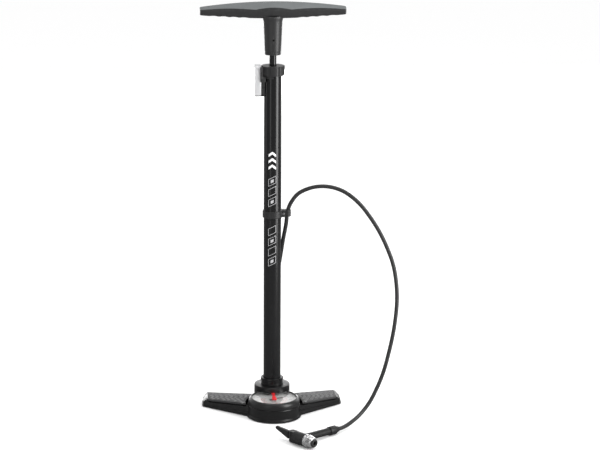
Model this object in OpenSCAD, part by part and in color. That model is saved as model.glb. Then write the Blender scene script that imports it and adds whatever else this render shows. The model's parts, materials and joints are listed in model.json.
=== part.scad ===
// Floor bike pump: a steel barrel on a three-point base with a pressure gauge,
// a T handle on a piston rod, and a rubber hose with a lever-lock pump head.
// Millimetres. +Z is up, the origin is on the floor under the barrel's axis,
// and the gauge faces -Y.

/* [Barrel] */
// Outer diameter of the barrel tube
barrel_d = 30; // [26:0.5:38]
// Wall of the barrel tube
barrel_wall = 1.5; // [1:0.1:2]
// Length of the barrel tube
barrel_length = 563; // [420:1:680]
// Diameter of the piston rod
rod_d = 12; // [10:0.5:14]
// Wall of the piston rod
rod_wall = 1.5; // [1:0.1:2.5]
// Gap between the handle's neck and the cap when the pump is closed
closed_gap = 18.5; // [6:0.5:40]

/* [Base] */
// Radius of the round socket that holds the barrel
socket_r = 31; // [27:0.5:34]
// Height of the base moulding's top face
base_top = 22; // [20:0.5:26]
// Height of the socket above the base moulding
socket_height = 19.3; // [18:0.5:26]
// Height of the lock ring above the socket
lock_ring_height = 12; // [8:0.5:18]
// Distance from the barrel's axis to the tip of a wing
wing_reach = 121; // [105:1:140]
// Thickness of a tread pad
pad_thickness = 3.2; // [2.4:0.1:5]

/* [Gauge] */
// Radius of the gauge's visible dial
dial_r = 37.8; // [34:0.2:40]
// Distance from the barrel's axis forward to the gauge's axis
gauge_reach = 52.5; // [51:0.5:60]
// Sweep of the needle from zero to full scale
needle_sweep = 240; // [180:5:270]

/* [Handle] */
// Length of the handle from end to end
handle_length = 246; // [200:2:300]
// Depth of the handle at its middle
handle_depth = 36; // [30:1:44]
// Height of the handle at its middle
handle_height = 27; // [22:1:34]
// Height of the neck under the handle
neck_height = 63; // [45:1:80]

/* [Hose] */
// Outer diameter of the hose
hose_d = 7; // [6:0.5:8]
// Bore of the pump head's valve opening
valve_d = 6.1; // [5.9:0.1:8.2]

/* [Hidden] */
$fn = 96;

slip = 0.1;        // radial clearance of a part that is fixed in another
run = 0.04;        // radial clearance of a part that turns or slides in another
gap = 0.3;         // free space between parts that only pass each other
cut = 1;           // how far a cutting shape runs past a face

// Heights, from the floor up
foot_gap = 1;                                     // floor to the moulding's underside
lens_top = base_top + 10.2;
hood_z = lens_top + gap;                          // underside of the socket over the gauge
seat_step = hood_z + 1;                           // step that the barrel gasket lies on
gasket_h = 1.5;
barrel_z = seat_step + gasket_h;
socket_top = base_top + socket_height;
ring_top = socket_top + lock_ring_height;
barrel_top = barrel_z + barrel_length;
cap_skirt = 10;
cap_top = barrel_top + 6.5;
cap_z = barrel_top - cap_skirt;
neck_z = cap_top + closed_gap;
handle_z = neck_z + neck_height;                  // underside of the handle at its middle
handle_top = handle_z + handle_height;

barrel_r = barrel_d / 2;
bore_r = barrel_r - barrel_wall;
rod_r = rod_d / 2;
hose_r = hose_d / 2;

// Gauge
gauge_y = -gauge_reach;
case_r = dial_r + 2.6;
case_wall = 1;
case_z = 5;
bezel_r = case_r + 4.2;
housing_r = bezel_r + 0.8;
dial_z = lens_top - 6.6;
lens_h = 1.6;
needle_z = dial_z + 1.8;
needle_length = 27;
needle_rest = 30;                                 // direction of the needle at zero
passage_z = 17;                                   // height of the air passages
spindle_r = 0.8;
bourdon_r = 31;
bourdon_tube_r = 2.2;

// Gauge train: a 12-tooth pinion turned by a sector of a 72-tooth gear
gear_module = 0.5;
pinion_teeth = 12;
sector_teeth = 72;
gear_z = 18.5;
gear_h = 2;
train_spacing = gear_module * (pinion_teeth + sector_teeth) / 2;
sector_y = gauge_y - train_spacing;
sector_turn = needle_sweep * pinion_teeth / sector_teeth;

// Foot valve
chamber_r = 9;
valve_seat_z = 24;
valve_seat_h = 7;
plug_z = 4;
plug_top = 14;

// Piston, at the bottom of its stroke
piston_z = barrel_z + 4;
piston_h = 20;
groove_z = piston_z + 3;
groove_h = 8;
groove_r = 9;
rod_z = piston_z + 13;
bumper_h = 6;
bush_h = 28;
bush_z = barrel_top - bush_h;
rod_top = neck_z + 49;
pin_z = neck_z + 26;
pin_r = 1.8;

// Wing, right-hand side, corners counter-clockwise; wing_reach sets the tip
wing_front = [[30, -68.4], [wing_reach - 1.5, 0]];
wing_tip = [[wing_reach, 4], [wing_reach - 0.5, 24], [wing_reach - 7, 31]];
wing_root = [[38, -10], [10, -12]];
wing_plan = concat(wing_front, wing_tip, wing_root);
wing_slope = 0.1167;                              // fall of the top per millimetre outwards
wing_root_z = 17.5;                               // height of the top at x = wing_root_x
wing_root_x = 50;
skirt_z = 8.6;                                    // height of the skirt at x = wing_root_x
skirt_slope = 0.07;
pad_rise = 3;                                     // shadow gap under the pad
pad_end_x = wing_reach - 11;
tip_x = pad_end_x + 2 + gap;                      // where the tip's raised end begins
tip_z = wing_root_z + pad_rise + pad_thickness - (tip_x - wing_root_x) * wing_slope;
tip_slope = 0.85;
pad_root_r = housing_r + 6;

// Screws and feet
screw_ring_r = 22;
screw_angles = [-12, 50, 130, 192];
screw_r = 2;
foot_spots = [[0, 0, 12], [0, gauge_y - 28, 8], [wing_reach - 15, 5, 6], [15 - wing_reach, 5, 6]];

// Hose outlet behind the barrel socket
outlet_y = 40;
outlet_r = 9.4;
ferrule_top = 46;

// Hose clip part of the way up the barrel
clip_z = 341;
clip_h = 12;
clip_hose = [26, 4];

// Adapter case beside the cap, held in a bracket that is clipped to the barrel
cap_r = barrel_r + 5.2;
bracket_z = cap_top - 50;
collar_h = 4;
box_w = 10.2;
box_depth = 22;
box_shell = 1.2;
box_x = -cap_r - gap - box_w / 2;
box_z = bracket_z + gap;
lid_h = 4;
lid_z = cap_top - lid_h;                          // underside of the lid
knuckle_w = 3.8;
knuckle_r = 1.2;
knuckle_y = box_depth / 2 + 0.9;                  // the lid's hinge, behind the case
box_pin_r = 0.6;
needle_y = 6.2;
nozzle_y = -6;

// Pump head lying on the floor: its frame has X along the valve and Y along the stem
head_pos = [34, -208, 11.3];
head_turn = -50;
stem_tilt = -2.5;
head_r = 10.7;
pivot_x = -19;
lever_eye_r = 6.5;
lever_t = 6;
spigot_x = 12.6;                                  // where the chrome cap meets the body
grommet_r = 7;
lever_length = 40;
lever_rise = 5.5;                                 // height of the lever's tip above its pin
stem_end = 66;
collar_end = 88;

// The hose's route, from the outlet up behind the barrel, through the clip,
// round in one free loop and down to the pump head
hose_route = [
    [0, 40, 41], [0, 40, 60], [1, 40, 90], [2, 39, 120], [4, 37, 150], [6, 34, 180],
    [9, 30, 210], [12, 25, 240], [16, 19, 270], [20, 13, 300], [24, 7, 326],
    [26, 4, 347], [31, 1, 364], [43, -2, 381], [60, -6, 391], [80, -10, 396],
    [102, -15, 395], [124, -21, 387], [146, -28, 370], [164, -35, 348],
    [180, -42, 323], [193, -49, 296], [203, -56, 268], [208, -63, 238],
    [209, -69, 207], [206, -75, 176], [201, -79, 146], [194, -83, 116],
    [186, -86, 87], [175, -90, 60], [161, -97, 35], [143, -109, 17],
    [125, -127, 9], [111, -143, 7], [98.5, -154, 7.6]
];

// ---------- shared shapes ----------

// A ring or disc with both outer edges rounded by chamfers
module ring(outer, inner, z, h, chamfer = 0.4) {
    translate([0, 0, z]) rotate_extrude()
        polygon([[inner, 0], [outer - chamfer, 0], [outer, chamfer],
                 [outer, h - chamfer], [outer - chamfer, h], [inner, h]]);
}

// A pan-head screw with its head at z = 0 and its shank going up
module screw_up(shank_r, length) {
    ring(shank_r * 1.8, 0, 0, shank_r * 1.2, shank_r * 0.3);
    cylinder(r = shank_r, h = length);
}

// Moves each edge of a convex outline outwards by d
function unit(v) = v / norm(v);
function edge_line(a, b, d) =
    let (u = unit(b - a), n = [u[1], -u[0]]) [n, n * (a + n * d)];
function crossing(p, q) =
    let (det = p[0][0] * q[0][1] - p[0][1] * q[0][0])
    [(p[1] * q[0][1] - q[1] * p[0][1]) / det, (p[0][0] * q[1] - q[0][0] * p[1]) / det];
function grown(points, d) =
    let (n = len(points))
    [for (i = [0 : n - 1]) crossing(
        edge_line(points[(i + n - 1) % n], points[i], d),
        edge_line(points[i], points[(i + 1) % n], d))];

// Closed skin over rings that hold the same number of points, each counter-clockwise
// as seen from the last ring's side
module skin(rings) {
    n = len(rings[0]);
    last = len(rings) - 1;
    points = [for (r = rings) for (p = r) p];
    sides = [for (i = [0 : last - 1]) for (j = [0 : n - 1]) each
        [[i * n + j, (i + 1) * n + j, i * n + (j + 1) % n],
         [i * n + (j + 1) % n, (i + 1) * n + j, (i + 1) * n + (j + 1) % n]]];
    start = [for (j = [0 : n - 1]) j];
    end = [for (j = [n - 1 : -1 : 0]) last * n + j];
    polyhedron(points, concat([start], sides, [end]));
}

// Points along a smooth curve through a route, with steps parts to each span
function curve_point(p0, p1, p2, p3, t) = 0.5 * (2 * p1 + (p2 - p0) * t
    + (2 * p0 - 5 * p1 + 4 * p2 - p3) * t * t + (3 * p1 - p0 - 3 * p2 + p3) * t * t * t);
function smooth_route(route, steps) =
    let (n = len(route))
    concat([for (i = [0 : n - 2]) for (k = [0 : steps - 1])
        curve_point(route[max(i - 1, 0)], route[i], route[i + 1],
                    route[min(i + 2, n - 1)], k / steps)], [route[n - 1]]);

// Rings of a tube swept along points: each ring's frame is carried from the one before
function heading(p, i) = unit(p[min(i + 1, len(p) - 1)] - p[max(i - 1, 0)]);
function carried(side, t) = unit(side - t * (side * t));
function sides_along(p, first, i = 0) = i == len(p) ? [] :
    let (s = carried(first, heading(p, i))) concat([s], sides_along(p, s, i + 1));
module tube_along(p, r, sides, first = [1, 0, 0]) {
    s = sides_along(p, first);
    skin([for (i = [0 : len(p) - 1]) let (up = cross(heading(p, i), s[i]))
        [for (k = [0 : sides - 1]) p[i] + r * (cos(k * 360 / sides) * s[i]
            + sin(k * 360 / sides) * up)]]);
}

// Involute gear outline with stub teeth and a little backlash
pressure = 20;
function involute(a) = tan(a) * 180 / PI - a;
function half_tooth(r, base_r, pitch_half) =
    pitch_half + involute(pressure) - involute(acos(min(base_r / r, 1)));
module gear_outline(teeth) {
    pitch_r = gear_module * teeth / 2;
    base_r = pitch_r * cos(pressure);
    tip_r = pitch_r + 0.75 * gear_module;
    root_r = pitch_r - 1.1 * gear_module;
    pitch_half = 90 / teeth - 0.05 / pitch_r * 180 / PI;
    flank = [for (k = [0 : 3]) max(base_r, root_r) + (tip_r - max(base_r, root_r)) * k / 3];
    polygon([for (i = [0 : teeth - 1]) each let (a = i * 360 / teeth) concat(
        [let (h = half_tooth(flank[0], base_r, pitch_half)) root_r * [cos(a - h), sin(a - h)]],
        [for (r = flank) let (h = half_tooth(r, base_r, pitch_half)) r * [cos(a - h), sin(a - h)]],
        [for (k = [3 : -1 : 0]) let (r = flank[k], h = half_tooth(r, base_r, pitch_half))
            r * [cos(a + h), sin(a + h)]],
        [let (h = half_tooth(flank[0], base_r, pitch_half)) root_r * [cos(a + h), sin(a + h)]])]);
}

// The room that the gauge takes in the base and in the socket above it
module gauge_room(r, z, top) {
    translate([0, gauge_y, z]) cylinder(r = r, h = top - z);
}

// ---------- base ----------

// A slab under a plane that falls outwards from height z0 at x0
module under_slope(x0, z0, fall, depth = 60) {
    translate([x0, 0, z0]) rotate([0, atan(fall), 0])
        translate([-200, -150, -depth]) cube([400, 300, depth]);
}

module wing_block(grow) {
    translate([0, 0, foot_gap]) linear_extrude(40) polygon(grown(wing_plan, grow));
}

module wing_body() {
    intersection() {
        union() {
            intersection() {
                wing_block(0);
                under_slope(wing_root_x, wing_root_z, wing_slope);
            }
            intersection() {
                wing_block(1.4);
                under_slope(wing_root_x, skirt_z, skirt_slope);
            }
            intersection() {
                wing_block(0);
                translate([tip_x, -60, 0]) cube([60, 120, 60]);
            }
        }
        under_slope(tip_x, tip_z, tip_slope);
    }
}

// Outline of a tread pad, cut back from the gauge housing and the barrel socket
module pad_plan(grow) {
    difference() {
        intersection() {
            polygon(grown(wing_plan, grow));
            translate([0, -150]) square([pad_end_x + grow, 300]);
        }
        translate([0, gauge_y]) circle(r = pad_root_r - grow);
        circle(r = socket_r + 6 - grow);
    }
}

// A sheet that follows the wing's top, from rise to rise + h above it
module pad_layer(grow, rise, h) {
    intersection() {
        linear_extrude(40) pad_plan(grow);
        under_slope(wing_root_x, wing_root_z + rise + h, wing_slope, h * cos(atan(wing_slope)));
    }
}

module wing_pocket() {
    translate([0, 0, -cut]) linear_extrude(7 + cut)
        polygon([[58, -34], [90, -11], [94, 5], [88, 5], [58, -12]]);
}

module base_body() {
    color("#1c1c1e") difference() {
        union() {
            translate([0, gauge_y, foot_gap]) rotate_extrude() polygon([
                [0, 0], [housing_r + 1.6, 0], [housing_r + 2.3, 0.7], [housing_r + 2.1, 2.5],
                [housing_r, 5], [housing_r, base_top - foot_gap - 1],
                [housing_r - 0.6, base_top - foot_gap], [0, base_top - foot_gap]]);
            ring(socket_r, 0, foot_gap, base_top - foot_gap, 0.6);
            translate([0, outlet_y, 0]) ring(outlet_r, 0, foot_gap, base_top - foot_gap, 0.6);
            translate([1.5 - outlet_r, 0, foot_gap])
                cube([2 * outlet_r - 3, outlet_y, base_top - foot_gap - 2]);
            for (side = [0, 1]) mirror([side, 0, 0]) {
                wing_body();
                pad_layer(-3, -cut, pad_rise + cut);
            }
        }
        gauge_room(case_r + slip, case_z, base_top + cut);
        translate([0, 0, plug_z]) cylinder(r = chamber_r, h = base_top);
        for (f = foot_spots) translate([f[0], f[1], 0]) cylinder(r = f[2] + slip, h = foot_gap + 2.5);
        for (side = [0, 1]) mirror([side, 0, 0]) wing_pocket();
        for (a = screw_angles) rotate(a) translate([screw_ring_r, 0, 0]) {
            cylinder(r = screw_r + slip, h = base_top + cut);
            cylinder(r = screw_r * 1.8 + gap, h = foot_gap + 5);
        }
        // air passages: forward to the gauge and back to the hose
        translate([0, 0, passage_z]) rotate([90, 0, 0]) cylinder(r = 2.5 + slip, h = 20);
        translate([0, outlet_y, passage_z]) rotate([90, 0, 0]) cylinder(r = 1.5, h = outlet_y);
        translate([0, outlet_y, passage_z - 3]) cylinder(r = 3 + slip, h = base_top);
    }
}

module tread_pad(side) {
    color("#3a3a3c") mirror([side, 0, 0]) pad_layer(2, pad_rise, pad_thickness);
}

module left_tread_pad() tread_pad(1);

module right_tread_pad() tread_pad(0);

module rubber_feet() {
    color("#111111") for (f = foot_spots)
        translate([f[0], f[1], 0]) ring(f[2], 0, 0, foot_gap + 2.4, 0.5);
}

module base_screws() {
    color("silver") for (a = screw_angles) rotate(a)
        translate([screw_ring_r, 0, foot_gap + 2.4]) screw_up(screw_r, 26);
}

module valve_plug() {
    color("#b9973f") ring(chamber_r - slip, 0, plug_z + 0.2, plug_top - plug_z - 0.2);
}

module check_valve_seat() {
    color("#b9973f") translate([0, 0, valve_seat_z]) difference() {
        ring(chamber_r - slip, 0, 0, valve_seat_h);
        translate([0, 0, -cut]) cylinder(r = 2.5, h = valve_seat_h + 2 * cut);
        translate([0, 0, valve_seat_h - 2]) cylinder(r1 = 2.5, r2 = 6, h = 2.01);
    }
}

module check_valve_poppet() {
    color("#222222") {
        ring(4.6, 0, valve_seat_z - 2, 1.95, 0.3);
        translate([0, 0, plug_top + 3]) cylinder(r = 1.4, h = valve_seat_z - plug_top - 4);
    }
}

module check_valve_spring() {
    turns = 5;
    steps = 12;
    low = plug_top + 0.35;
    high = valve_seat_z - 2.35;
    color("silver") tube_along([for (i = [0 : turns * steps])
        [2.6 * cos(i * 360 / steps), 2.6 * sin(i * 360 / steps),
         low + (high - low) * i / (turns * steps)]], 0.3, 6, [1, 0, 0]);
}

// ---------- barrel ----------

module barrel_socket() {
    color("#1c1c1e") difference() {
        ring(socket_r, 0, base_top, socket_height, 1);
        gauge_room(case_r + 0.4, base_top - cut, hood_z);
        translate([0, 0, base_top - cut]) cylinder(r = chamber_r, h = socket_height);
        translate([0, 0, seat_step]) cylinder(r = barrel_r + slip, h = socket_height);
        for (a = screw_angles) rotate(a) translate([screw_ring_r, 0, base_top - cut])
            cylinder(r = screw_r, h = 9 + cut);
        // the bezel runs into the socket's two sides
        translate([0, gauge_y, base_top - cut]) difference() {
            cylinder(r = bezel_r + gap, h = hood_z - base_top + cut + 1.8);
            translate([0, 0, -cut]) cylinder(r = case_r, h = 30);
            translate([-25, 0, -cut]) cube([50, 60, 40]);
        }
    }
}

module barrel_lock_ring() {
    lip = 3;
    r = barrel_r + 4.7;
    color("#222224") difference() {
        union() {
            ring(r - 0.9, barrel_r + slip, socket_top, lock_ring_height - lip, 0.3);
            ring(r, barrel_r + slip, ring_top - lip - 1.5, lip + 1.5, 0.6);
            ring(r, barrel_r + slip, socket_top, 2.4, 0.5);
        }
        for (a = [0 : 36 : 359]) rotate(a + 18) translate([r - 1.6, -1.4, ring_top - lip])
            cube([4, 2.8, lip + cut]);
        translate([0, 0, ring_top - 1.2]) cylinder(r1 = barrel_r + slip, r2 = barrel_r + 1.4, h = 1.21);
    }
}

module barrel_gasket() {
    color("#111111") ring(barrel_r, bore_r - 0.5, seat_step, gasket_h, 0.2);
}

module barrel() {
    color("#0d0d0e") ring(barrel_r, bore_r, barrel_z, barrel_length, 0.3);
}

module barrel_cap() {
    lobes = 8;
    color("#2a2a2c") difference() {
        ring(cap_r, 0, cap_z, cap_top - cap_z, 0.8);
        translate([0, 0, cap_z - cut]) cylinder(r = barrel_r + slip, h = cap_skirt + cut + 2);
        translate([0, 0, cap_z]) cylinder(r = rod_r + 0.8, h = cap_top);
        for (i = [0 : lobes - 1]) rotate((i + 0.5) * 360 / lobes)
            translate([cap_r + 4.6, 0, cap_z - cut]) cylinder(r = 6, h = cap_top);
    }
}

module rod_guide_bush() {
    color("#d8d8d2") difference() {
        union() {
            ring(bore_r - slip, 0, bush_z, bush_h, 0.5);
            ring(barrel_r - 0.2, 0, barrel_top, 1.8, 0.2);
        }
        translate([0, 0, bush_z - cut]) cylinder(r = rod_r + run, h = bush_h + 4);
    }
}

module top_bumper() {
    color("#151515") ring(bore_r - 1, rod_r + 0.8, bush_z - bumper_h, bumper_h, 0.8);
}

// ---------- plunger ----------

module piston_head() {
    color("#c9c9c4") difference() {
        ring(bore_r - 0.35, 0, piston_z, piston_h, 0.6);
        translate([0, 0, groove_z]) difference() {
            cylinder(r = bore_r + cut, h = groove_h);
            translate([0, 0, -cut]) cylinder(r = groove_r, h = groove_h + 2 * cut);
        }
        translate([0, 0, rod_z]) cylinder(r = rod_r + slip, h = piston_h);
        translate([0, 0, piston_z - cut]) cylinder(r = 2.6, h = piston_h);
    }
}

module piston_seal() {
    low = groove_z + gap;
    h = groove_h - 2 * gap;
    color("#1a1a1a") translate([0, 0, low]) rotate_extrude() polygon([
        [groove_r + run, 0], [bore_r - 1.4, 0], [bore_r - run, 2], [bore_r - run, 3],
        [bore_r - 1.2, 4], [bore_r - 1.2, h - 3.2], [bore_r - run, h - 2.2],
        [bore_r - run, h - 0.6], [bore_r - 0.6, h], [groove_r + run, h]]);
}

module piston_screw() {
    color("silver") {
        ring(4.6, 0, piston_z - 2.4, 2.4, 0.4);
        translate([0, 0, piston_z - 0.5]) cylinder(r = 2.5, h = 13);
        translate([0, 0, rod_z]) cylinder(r = rod_r - rod_wall - 0.05, h = 10);
    }
}

module piston_rod() {
    color("#121212") difference() {
        ring(rod_r, rod_r - rod_wall, rod_z, rod_top - rod_z, 0.2);
        translate([0, 0, pin_z]) rotate([90, 0, 0]) cylinder(r = pin_r + 0.05, h = 40, center = true);
    }
}

// Half-depth of the handle, its top, its underside and its crease, along X
half_length = handle_length / 2;
end_depth = 0.6 * handle_depth;
function arch(x) = pow(x / half_length, 2);
function depth_at(x) = (handle_depth - (handle_depth - end_depth) * abs(x) / half_length) / 2;
function top_at(x) = handle_top - 0.32 * handle_height * arch(x);
function under_at(x) = handle_z + 0.2 * handle_height * arch(x);
crease_z = handle_z + 0.49 * handle_height;

// Half of the handle's upper cross-section at x, drawn in from its skin by t:
// the crease, the shoulder above it and the crown
function upper_half(x, t) =
    let (d = depth_at(x) - t, h = top_at(x) - t - crease_z)
    [[d, crease_z], [0.9 * d, crease_z + 0.5 * h], [0.68 * d, crease_z + 0.82 * h],
     [0.35 * d, crease_z + 0.98 * h]];

// The inlay's lower edge runs in scallops; edge_at is its place between crease and shoulder
scallop_x = 30.5;
function edge_share(x) =
    let (a = abs(x),
         phase = a < scallop_x ? (a + scallop_x) / (2 * scallop_x)
                               : (a - scallop_x) / (1.2 * half_length - scallop_x))
    0.33 + 0.5 * sin(180 * phase);
function edge_at(x, t, lift = 0) =
    let (u = upper_half(x, t)) u[0] + (edge_share(x) + lift) * (u[1] - u[0]);
function crown(x, t) = let (u = upper_half(x, t)) [u[1], u[2], u[3]];
function mirrored(points) = [for (i = [len(points) - 1 : -1 : 0]) [-points[i][0], points[i][1]]];
function lifted(x, points) = [for (p = points) [x, p[0], p[1]]];
inlay_t = 3.2;
seam = 0.08;                                      // free space between the inlay and the body
stations = 40;
function station(i) = (2 * i / stations - 1) * half_length;

function body_ring(x) =
    let (d = depth_at(x), low = under_at(x),
         half = concat([[0.55 * d, low], [0.88 * d, low + 0.35 * (crease_z - low)], [d, crease_z],
                        edge_at(x, 0), edge_at(x, inlay_t)], crown(x, inlay_t)))
    lifted(x, concat(half, mirrored(half)));
function inlay_ring(x) =
    let (lift = 0.02, t = inlay_t - seam,
         outer = concat([edge_at(x, 0, lift)], crown(x, 0)),
         inner = concat([edge_at(x, t, lift)], crown(x, t)),
         inside = concat(inner, mirrored(inner)))
    lifted(x, concat(outer, mirrored(outer), [for (i = [len(inside) - 1 : -1 : 0]) inside[i]]));

module handle_body() {
    color("#232325") difference() {
        union() {
            skin([for (i = [0 : stations]) body_ring(station(i))]);
            translate([0, 0, neck_z]) rotate_extrude() polygon([
                [0, 0], [13, 0], [13.6, 0.6], [13.7, 2], [13.3, 2.6], [13.8, 3.2], [13.9, 4.8],
                [13.5, 5.4], [14, 6], [16, neck_height - 8], [16.4, neck_height - 3],
                [17.6, neck_height], [17.6, neck_height + 3], [0, neck_height + 3]]);
        }
        translate([0, 0, neck_z - cut]) cylinder(r = rod_r + slip, h = rod_top - neck_z + cut + 0.5);
        translate([0, 0, pin_z]) rotate([90, 0, 0]) cylinder(r = pin_r + 0.05, h = 60, center = true);
    }
}

module handle_top_inlay() {
    color("#7c8080") skin([for (i = [0 : stations]) inlay_ring(station(i))]);
}

module handle_pin() {
    color("silver") translate([0, 13.4, pin_z]) rotate([90, 0, 0]) cylinder(r = pin_r, h = 26.8);
}

// ---------- gauge ----------

module at_gauge(z = 0) {
    translate([0, gauge_y, z]) children();
}

module gauge_case() {
    color("silver") difference() {
        at_gauge() difference() {
            ring(case_r, 0, case_z + 0.1, lens_top - lens_h - case_z - 0.1, 0.3);
            translate([0, 0, case_z + case_wall]) cylinder(r = case_r - case_wall, h = 40);
        }
        translate([0, 0, passage_z]) rotate([90, 0, 0]) cylinder(r = 2.5 + slip, h = 20);
    }
}

module gauge_nipple() {
    color("#b9973f") difference() {
        union() {
            translate([0, -8.6, passage_z]) rotate([90, 0, 0]) cylinder(r = 2.5, h = 10);
            translate([-4, gauge_y + bourdon_r - 4, case_z + case_wall + 0.1])
                cube([8, 8, passage_z + 3 - case_z - case_wall]);
        }
        translate([0, -8, passage_z]) rotate([90, 0, 0]) cylinder(r = 1, h = 12);
    }
}

module bourdon_tube() {
    start = asin(4.05 / bourdon_r);
    sweep = 262;
    color("#c8a54a") at_gauge(passage_z) {
        rotate(90 + start) rotate_extrude(angle = sweep)
            translate([bourdon_r, 0]) circle(r = bourdon_tube_r, $fn = 32);
        rotate(90 + start + sweep) translate([bourdon_r - 3, 0, -3]) cube([6, 3, 6]);
    }
}

// Two plates on posts carry the needle's spindle and the sector's pivot
module gauge_movement() {
    plate_h = 1.2;
    low = gear_z - 2.2 - plate_h;
    high = gear_z + gear_h + 1.2;
    color("#c0a862") at_gauge() difference() {
        union() {
            for (z = [low, high]) translate([-11, -24, z]) cube([22, 30, plate_h]);
            for (p = [[9, -3], [-7, -22]]) translate([p[0], p[1], case_z + case_wall + 0.1])
                cylinder(r = 1.5, h = low - case_z - case_wall);
            for (x = [-9.5, 9.5]) translate([x, 3.5, low]) cylinder(r = 1.3, h = high - low);
            translate([0, -train_spacing, low]) cylinder(r = 1, h = high - low);
        }
        translate([0, 0, low - cut]) cylinder(r = spindle_r + run, h = high - low + 4);
    }
}

module sector_gear() {
    color("#c8a54a") translate([0, sector_y, gear_z]) difference() {
        union() {
            linear_extrude(gear_h) intersection() {
                rotate(90) gear_outline(sector_teeth);
                polygon([[0, -3], for (a = [90 - sector_turn - 9 : 7 : 99]) 24 * [cos(a), sin(a)],
                         24 * [cos(99), sin(99)]]);
            }
            cylinder(r = 3, h = gear_h);
            rotate(-70) translate([-1.2, 0, 0]) cube([2.4, 6.5, gear_h]);
        }
        translate([0, 0, -cut]) cylinder(r = 1 + run, h = gear_h + 2 * cut);
        rotate(90 - sector_turn / 2) translate([10, 0, -cut]) cylinder(r = 3, h = gear_h + 2 * cut);
    }
}

module needle_pinion() {
    color("#c8a54a") at_gauge(gear_z) difference() {
        linear_extrude(gear_h) rotate(-90 + 180 / pinion_teeth) gear_outline(pinion_teeth);
        translate([0, 0, -cut]) cylinder(r = spindle_r + 0.02, h = gear_h + 2 * cut);
    }
}

module gauge_needle() {
    color("#151515") at_gauge() {
        translate([0, 0, gear_z - 3.2]) cylinder(r = spindle_r, h = needle_z - gear_z + 4);
        ring(3.4, 0, needle_z, 1.6, 0.3);
        rotate(needle_rest) translate([0, 0, needle_z + 0.4]) linear_extrude(0.6)
            polygon([[-9, -1.5], [0, -1.1], [needle_length, -0.3], [needle_length, 0.3],
                     [0, 1.1], [-9, 1.5]]);
    }
}

module gauge_dial() {
    color("white") at_gauge() difference() {
        ring(case_r - case_wall - slip, 0, dial_z, 1, 0.2);
        translate([0, 0, dial_z - cut]) cylinder(r = 1.5, h = 1 + 2 * cut);
    }
}

module gauge_lens() {
    color([0.9, 0.95, 1, 0.3]) at_gauge() difference() {
        ring(case_r, 0, lens_top - lens_h, lens_h, 0.3);
        translate([0, 0, lens_top - lens_h - cut]) cylinder(r = 1.2 + run, h = lens_h + 2 * cut);
    }
}

module gauge_bezel() {
    lip = 0.2;
    color("#1f1f21") difference() {
        at_gauge() rotate_extrude() polygon([
            [case_r + slip, base_top + lip], [bezel_r - 0.5, base_top + lip],
            [bezel_r, base_top + 0.8], [bezel_r, lens_top - 5], [bezel_r - 0.5, lens_top - 2.6],
            [bezel_r - 1.9, lens_top - 0.2], [dial_r + 2.4, lens_top + 1.6],
            [dial_r + 1.2, lens_top + 1.8], [dial_r + 0.3, lens_top + 1.3], [dial_r, lens_top + lip],
            [case_r + slip, lens_top + lip]]);
        translate([0, 0, base_top - cut]) cylinder(r = socket_r + 0.2, h = 40);
    }
}

module pressure_marker() {
    reach = gauge_reach - socket_r - 1;
    z = lens_top + 0.15;
    color("#d3222a") at_gauge() {
        translate([0, 0, z]) linear_extrude(1.3) polygon([
            [1.8, 0], [3, reach - 1.5], [2.4, reach], [-2.4, reach], [-3, reach - 1.5], [-1.8, 0],
            [-4, -8], [-4, -13], [-2.4, -15], [2.4, -15], [4, -13], [4, -8]]);
        ring(3.2, 0, z, 2, 0.4);
        translate([0, 0, lens_top - lens_h - 0.15]) cylinder(r = 1.2, h = lens_h + 1);
        translate([0, 0, lens_top - lens_h - 0.75]) cylinder(r = 2, h = 0.6);
    }
}

// ---------- adapter case ----------

// Bracket: a half ring on the barrel under the cap, a backing plate with a floor for
// the case, and two lips that hold the case's edges
module adapter_bracket() {
    arm_z = cap_z - 10;
    arm_h = 9;
    plate_x = -cap_r;
    plate_w = cap_r - barrel_r + 1;
    color("#161618") difference() {
        union() {
            intersection() {
                ring(barrel_r + 2.2, 0, cap_z - collar_h - gap, collar_h, 0.3);
                translate([-60, -30, 0]) cube([60, 60, cap_top]);
            }
            translate([plate_x, -7, bracket_z]) cube([plate_w, 14, cap_z - gap - bracket_z]);
            translate([box_x - box_w / 2, -7, bracket_z - 2]) cube([box_w + plate_w + gap, 14, 2.5 - gap]);
            // the front lip is tall and the rear one ends below the lid's hinge
            for (side = [0, 1]) mirror([0, side, 0]) let (lip_top = side == 0 ? cap_top - 1 : arm_z + arm_h) {
                translate([plate_x, -box_depth / 2 - 2.4, arm_z]) cube([plate_w + 1, 8, arm_h]);
                translate([plate_x - 2, -box_depth / 2 - 2.4, arm_z]) cube([5, 2, lip_top - arm_z]);
            }
        }
        translate([0, 0, bracket_z - 10]) cylinder(r = barrel_r + slip, h = 80);
    }
}

// Children drawn about a pin along X are put on the lid's hinge
module at_lid_hinge() {
    translate([box_x, knuckle_y, lid_z]) rotate([0, 90, 0]) children();
}

module adapter_case() {
    lug_w = (box_w - knuckle_w) / 2 - gap;
    color([0.85, 0.85, 0.85, 0.6]) {
        difference() {
            union() {
                translate([box_x - box_w / 2, -box_depth / 2, box_z])
                    cube([box_w, box_depth, lid_z - box_z - 0.1]);
                at_lid_hinge() for (end = [-box_w / 2, box_w / 2 - lug_w])
                    translate([0, 0, end]) cylinder(r = knuckle_r, h = lug_w);
            }
            translate([box_x - box_w / 2 + box_shell, -box_depth / 2 + box_shell, box_z + box_shell])
                cube([box_w - 2 * box_shell, box_depth - 2 * box_shell, lid_z]);
            at_lid_hinge() cylinder(r = knuckle_r + gap, h = knuckle_w + 2 * gap, center = true);
        }
        at_lid_hinge() cylinder(r = box_pin_r, h = box_w - 1, center = true);
    }
}

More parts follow.
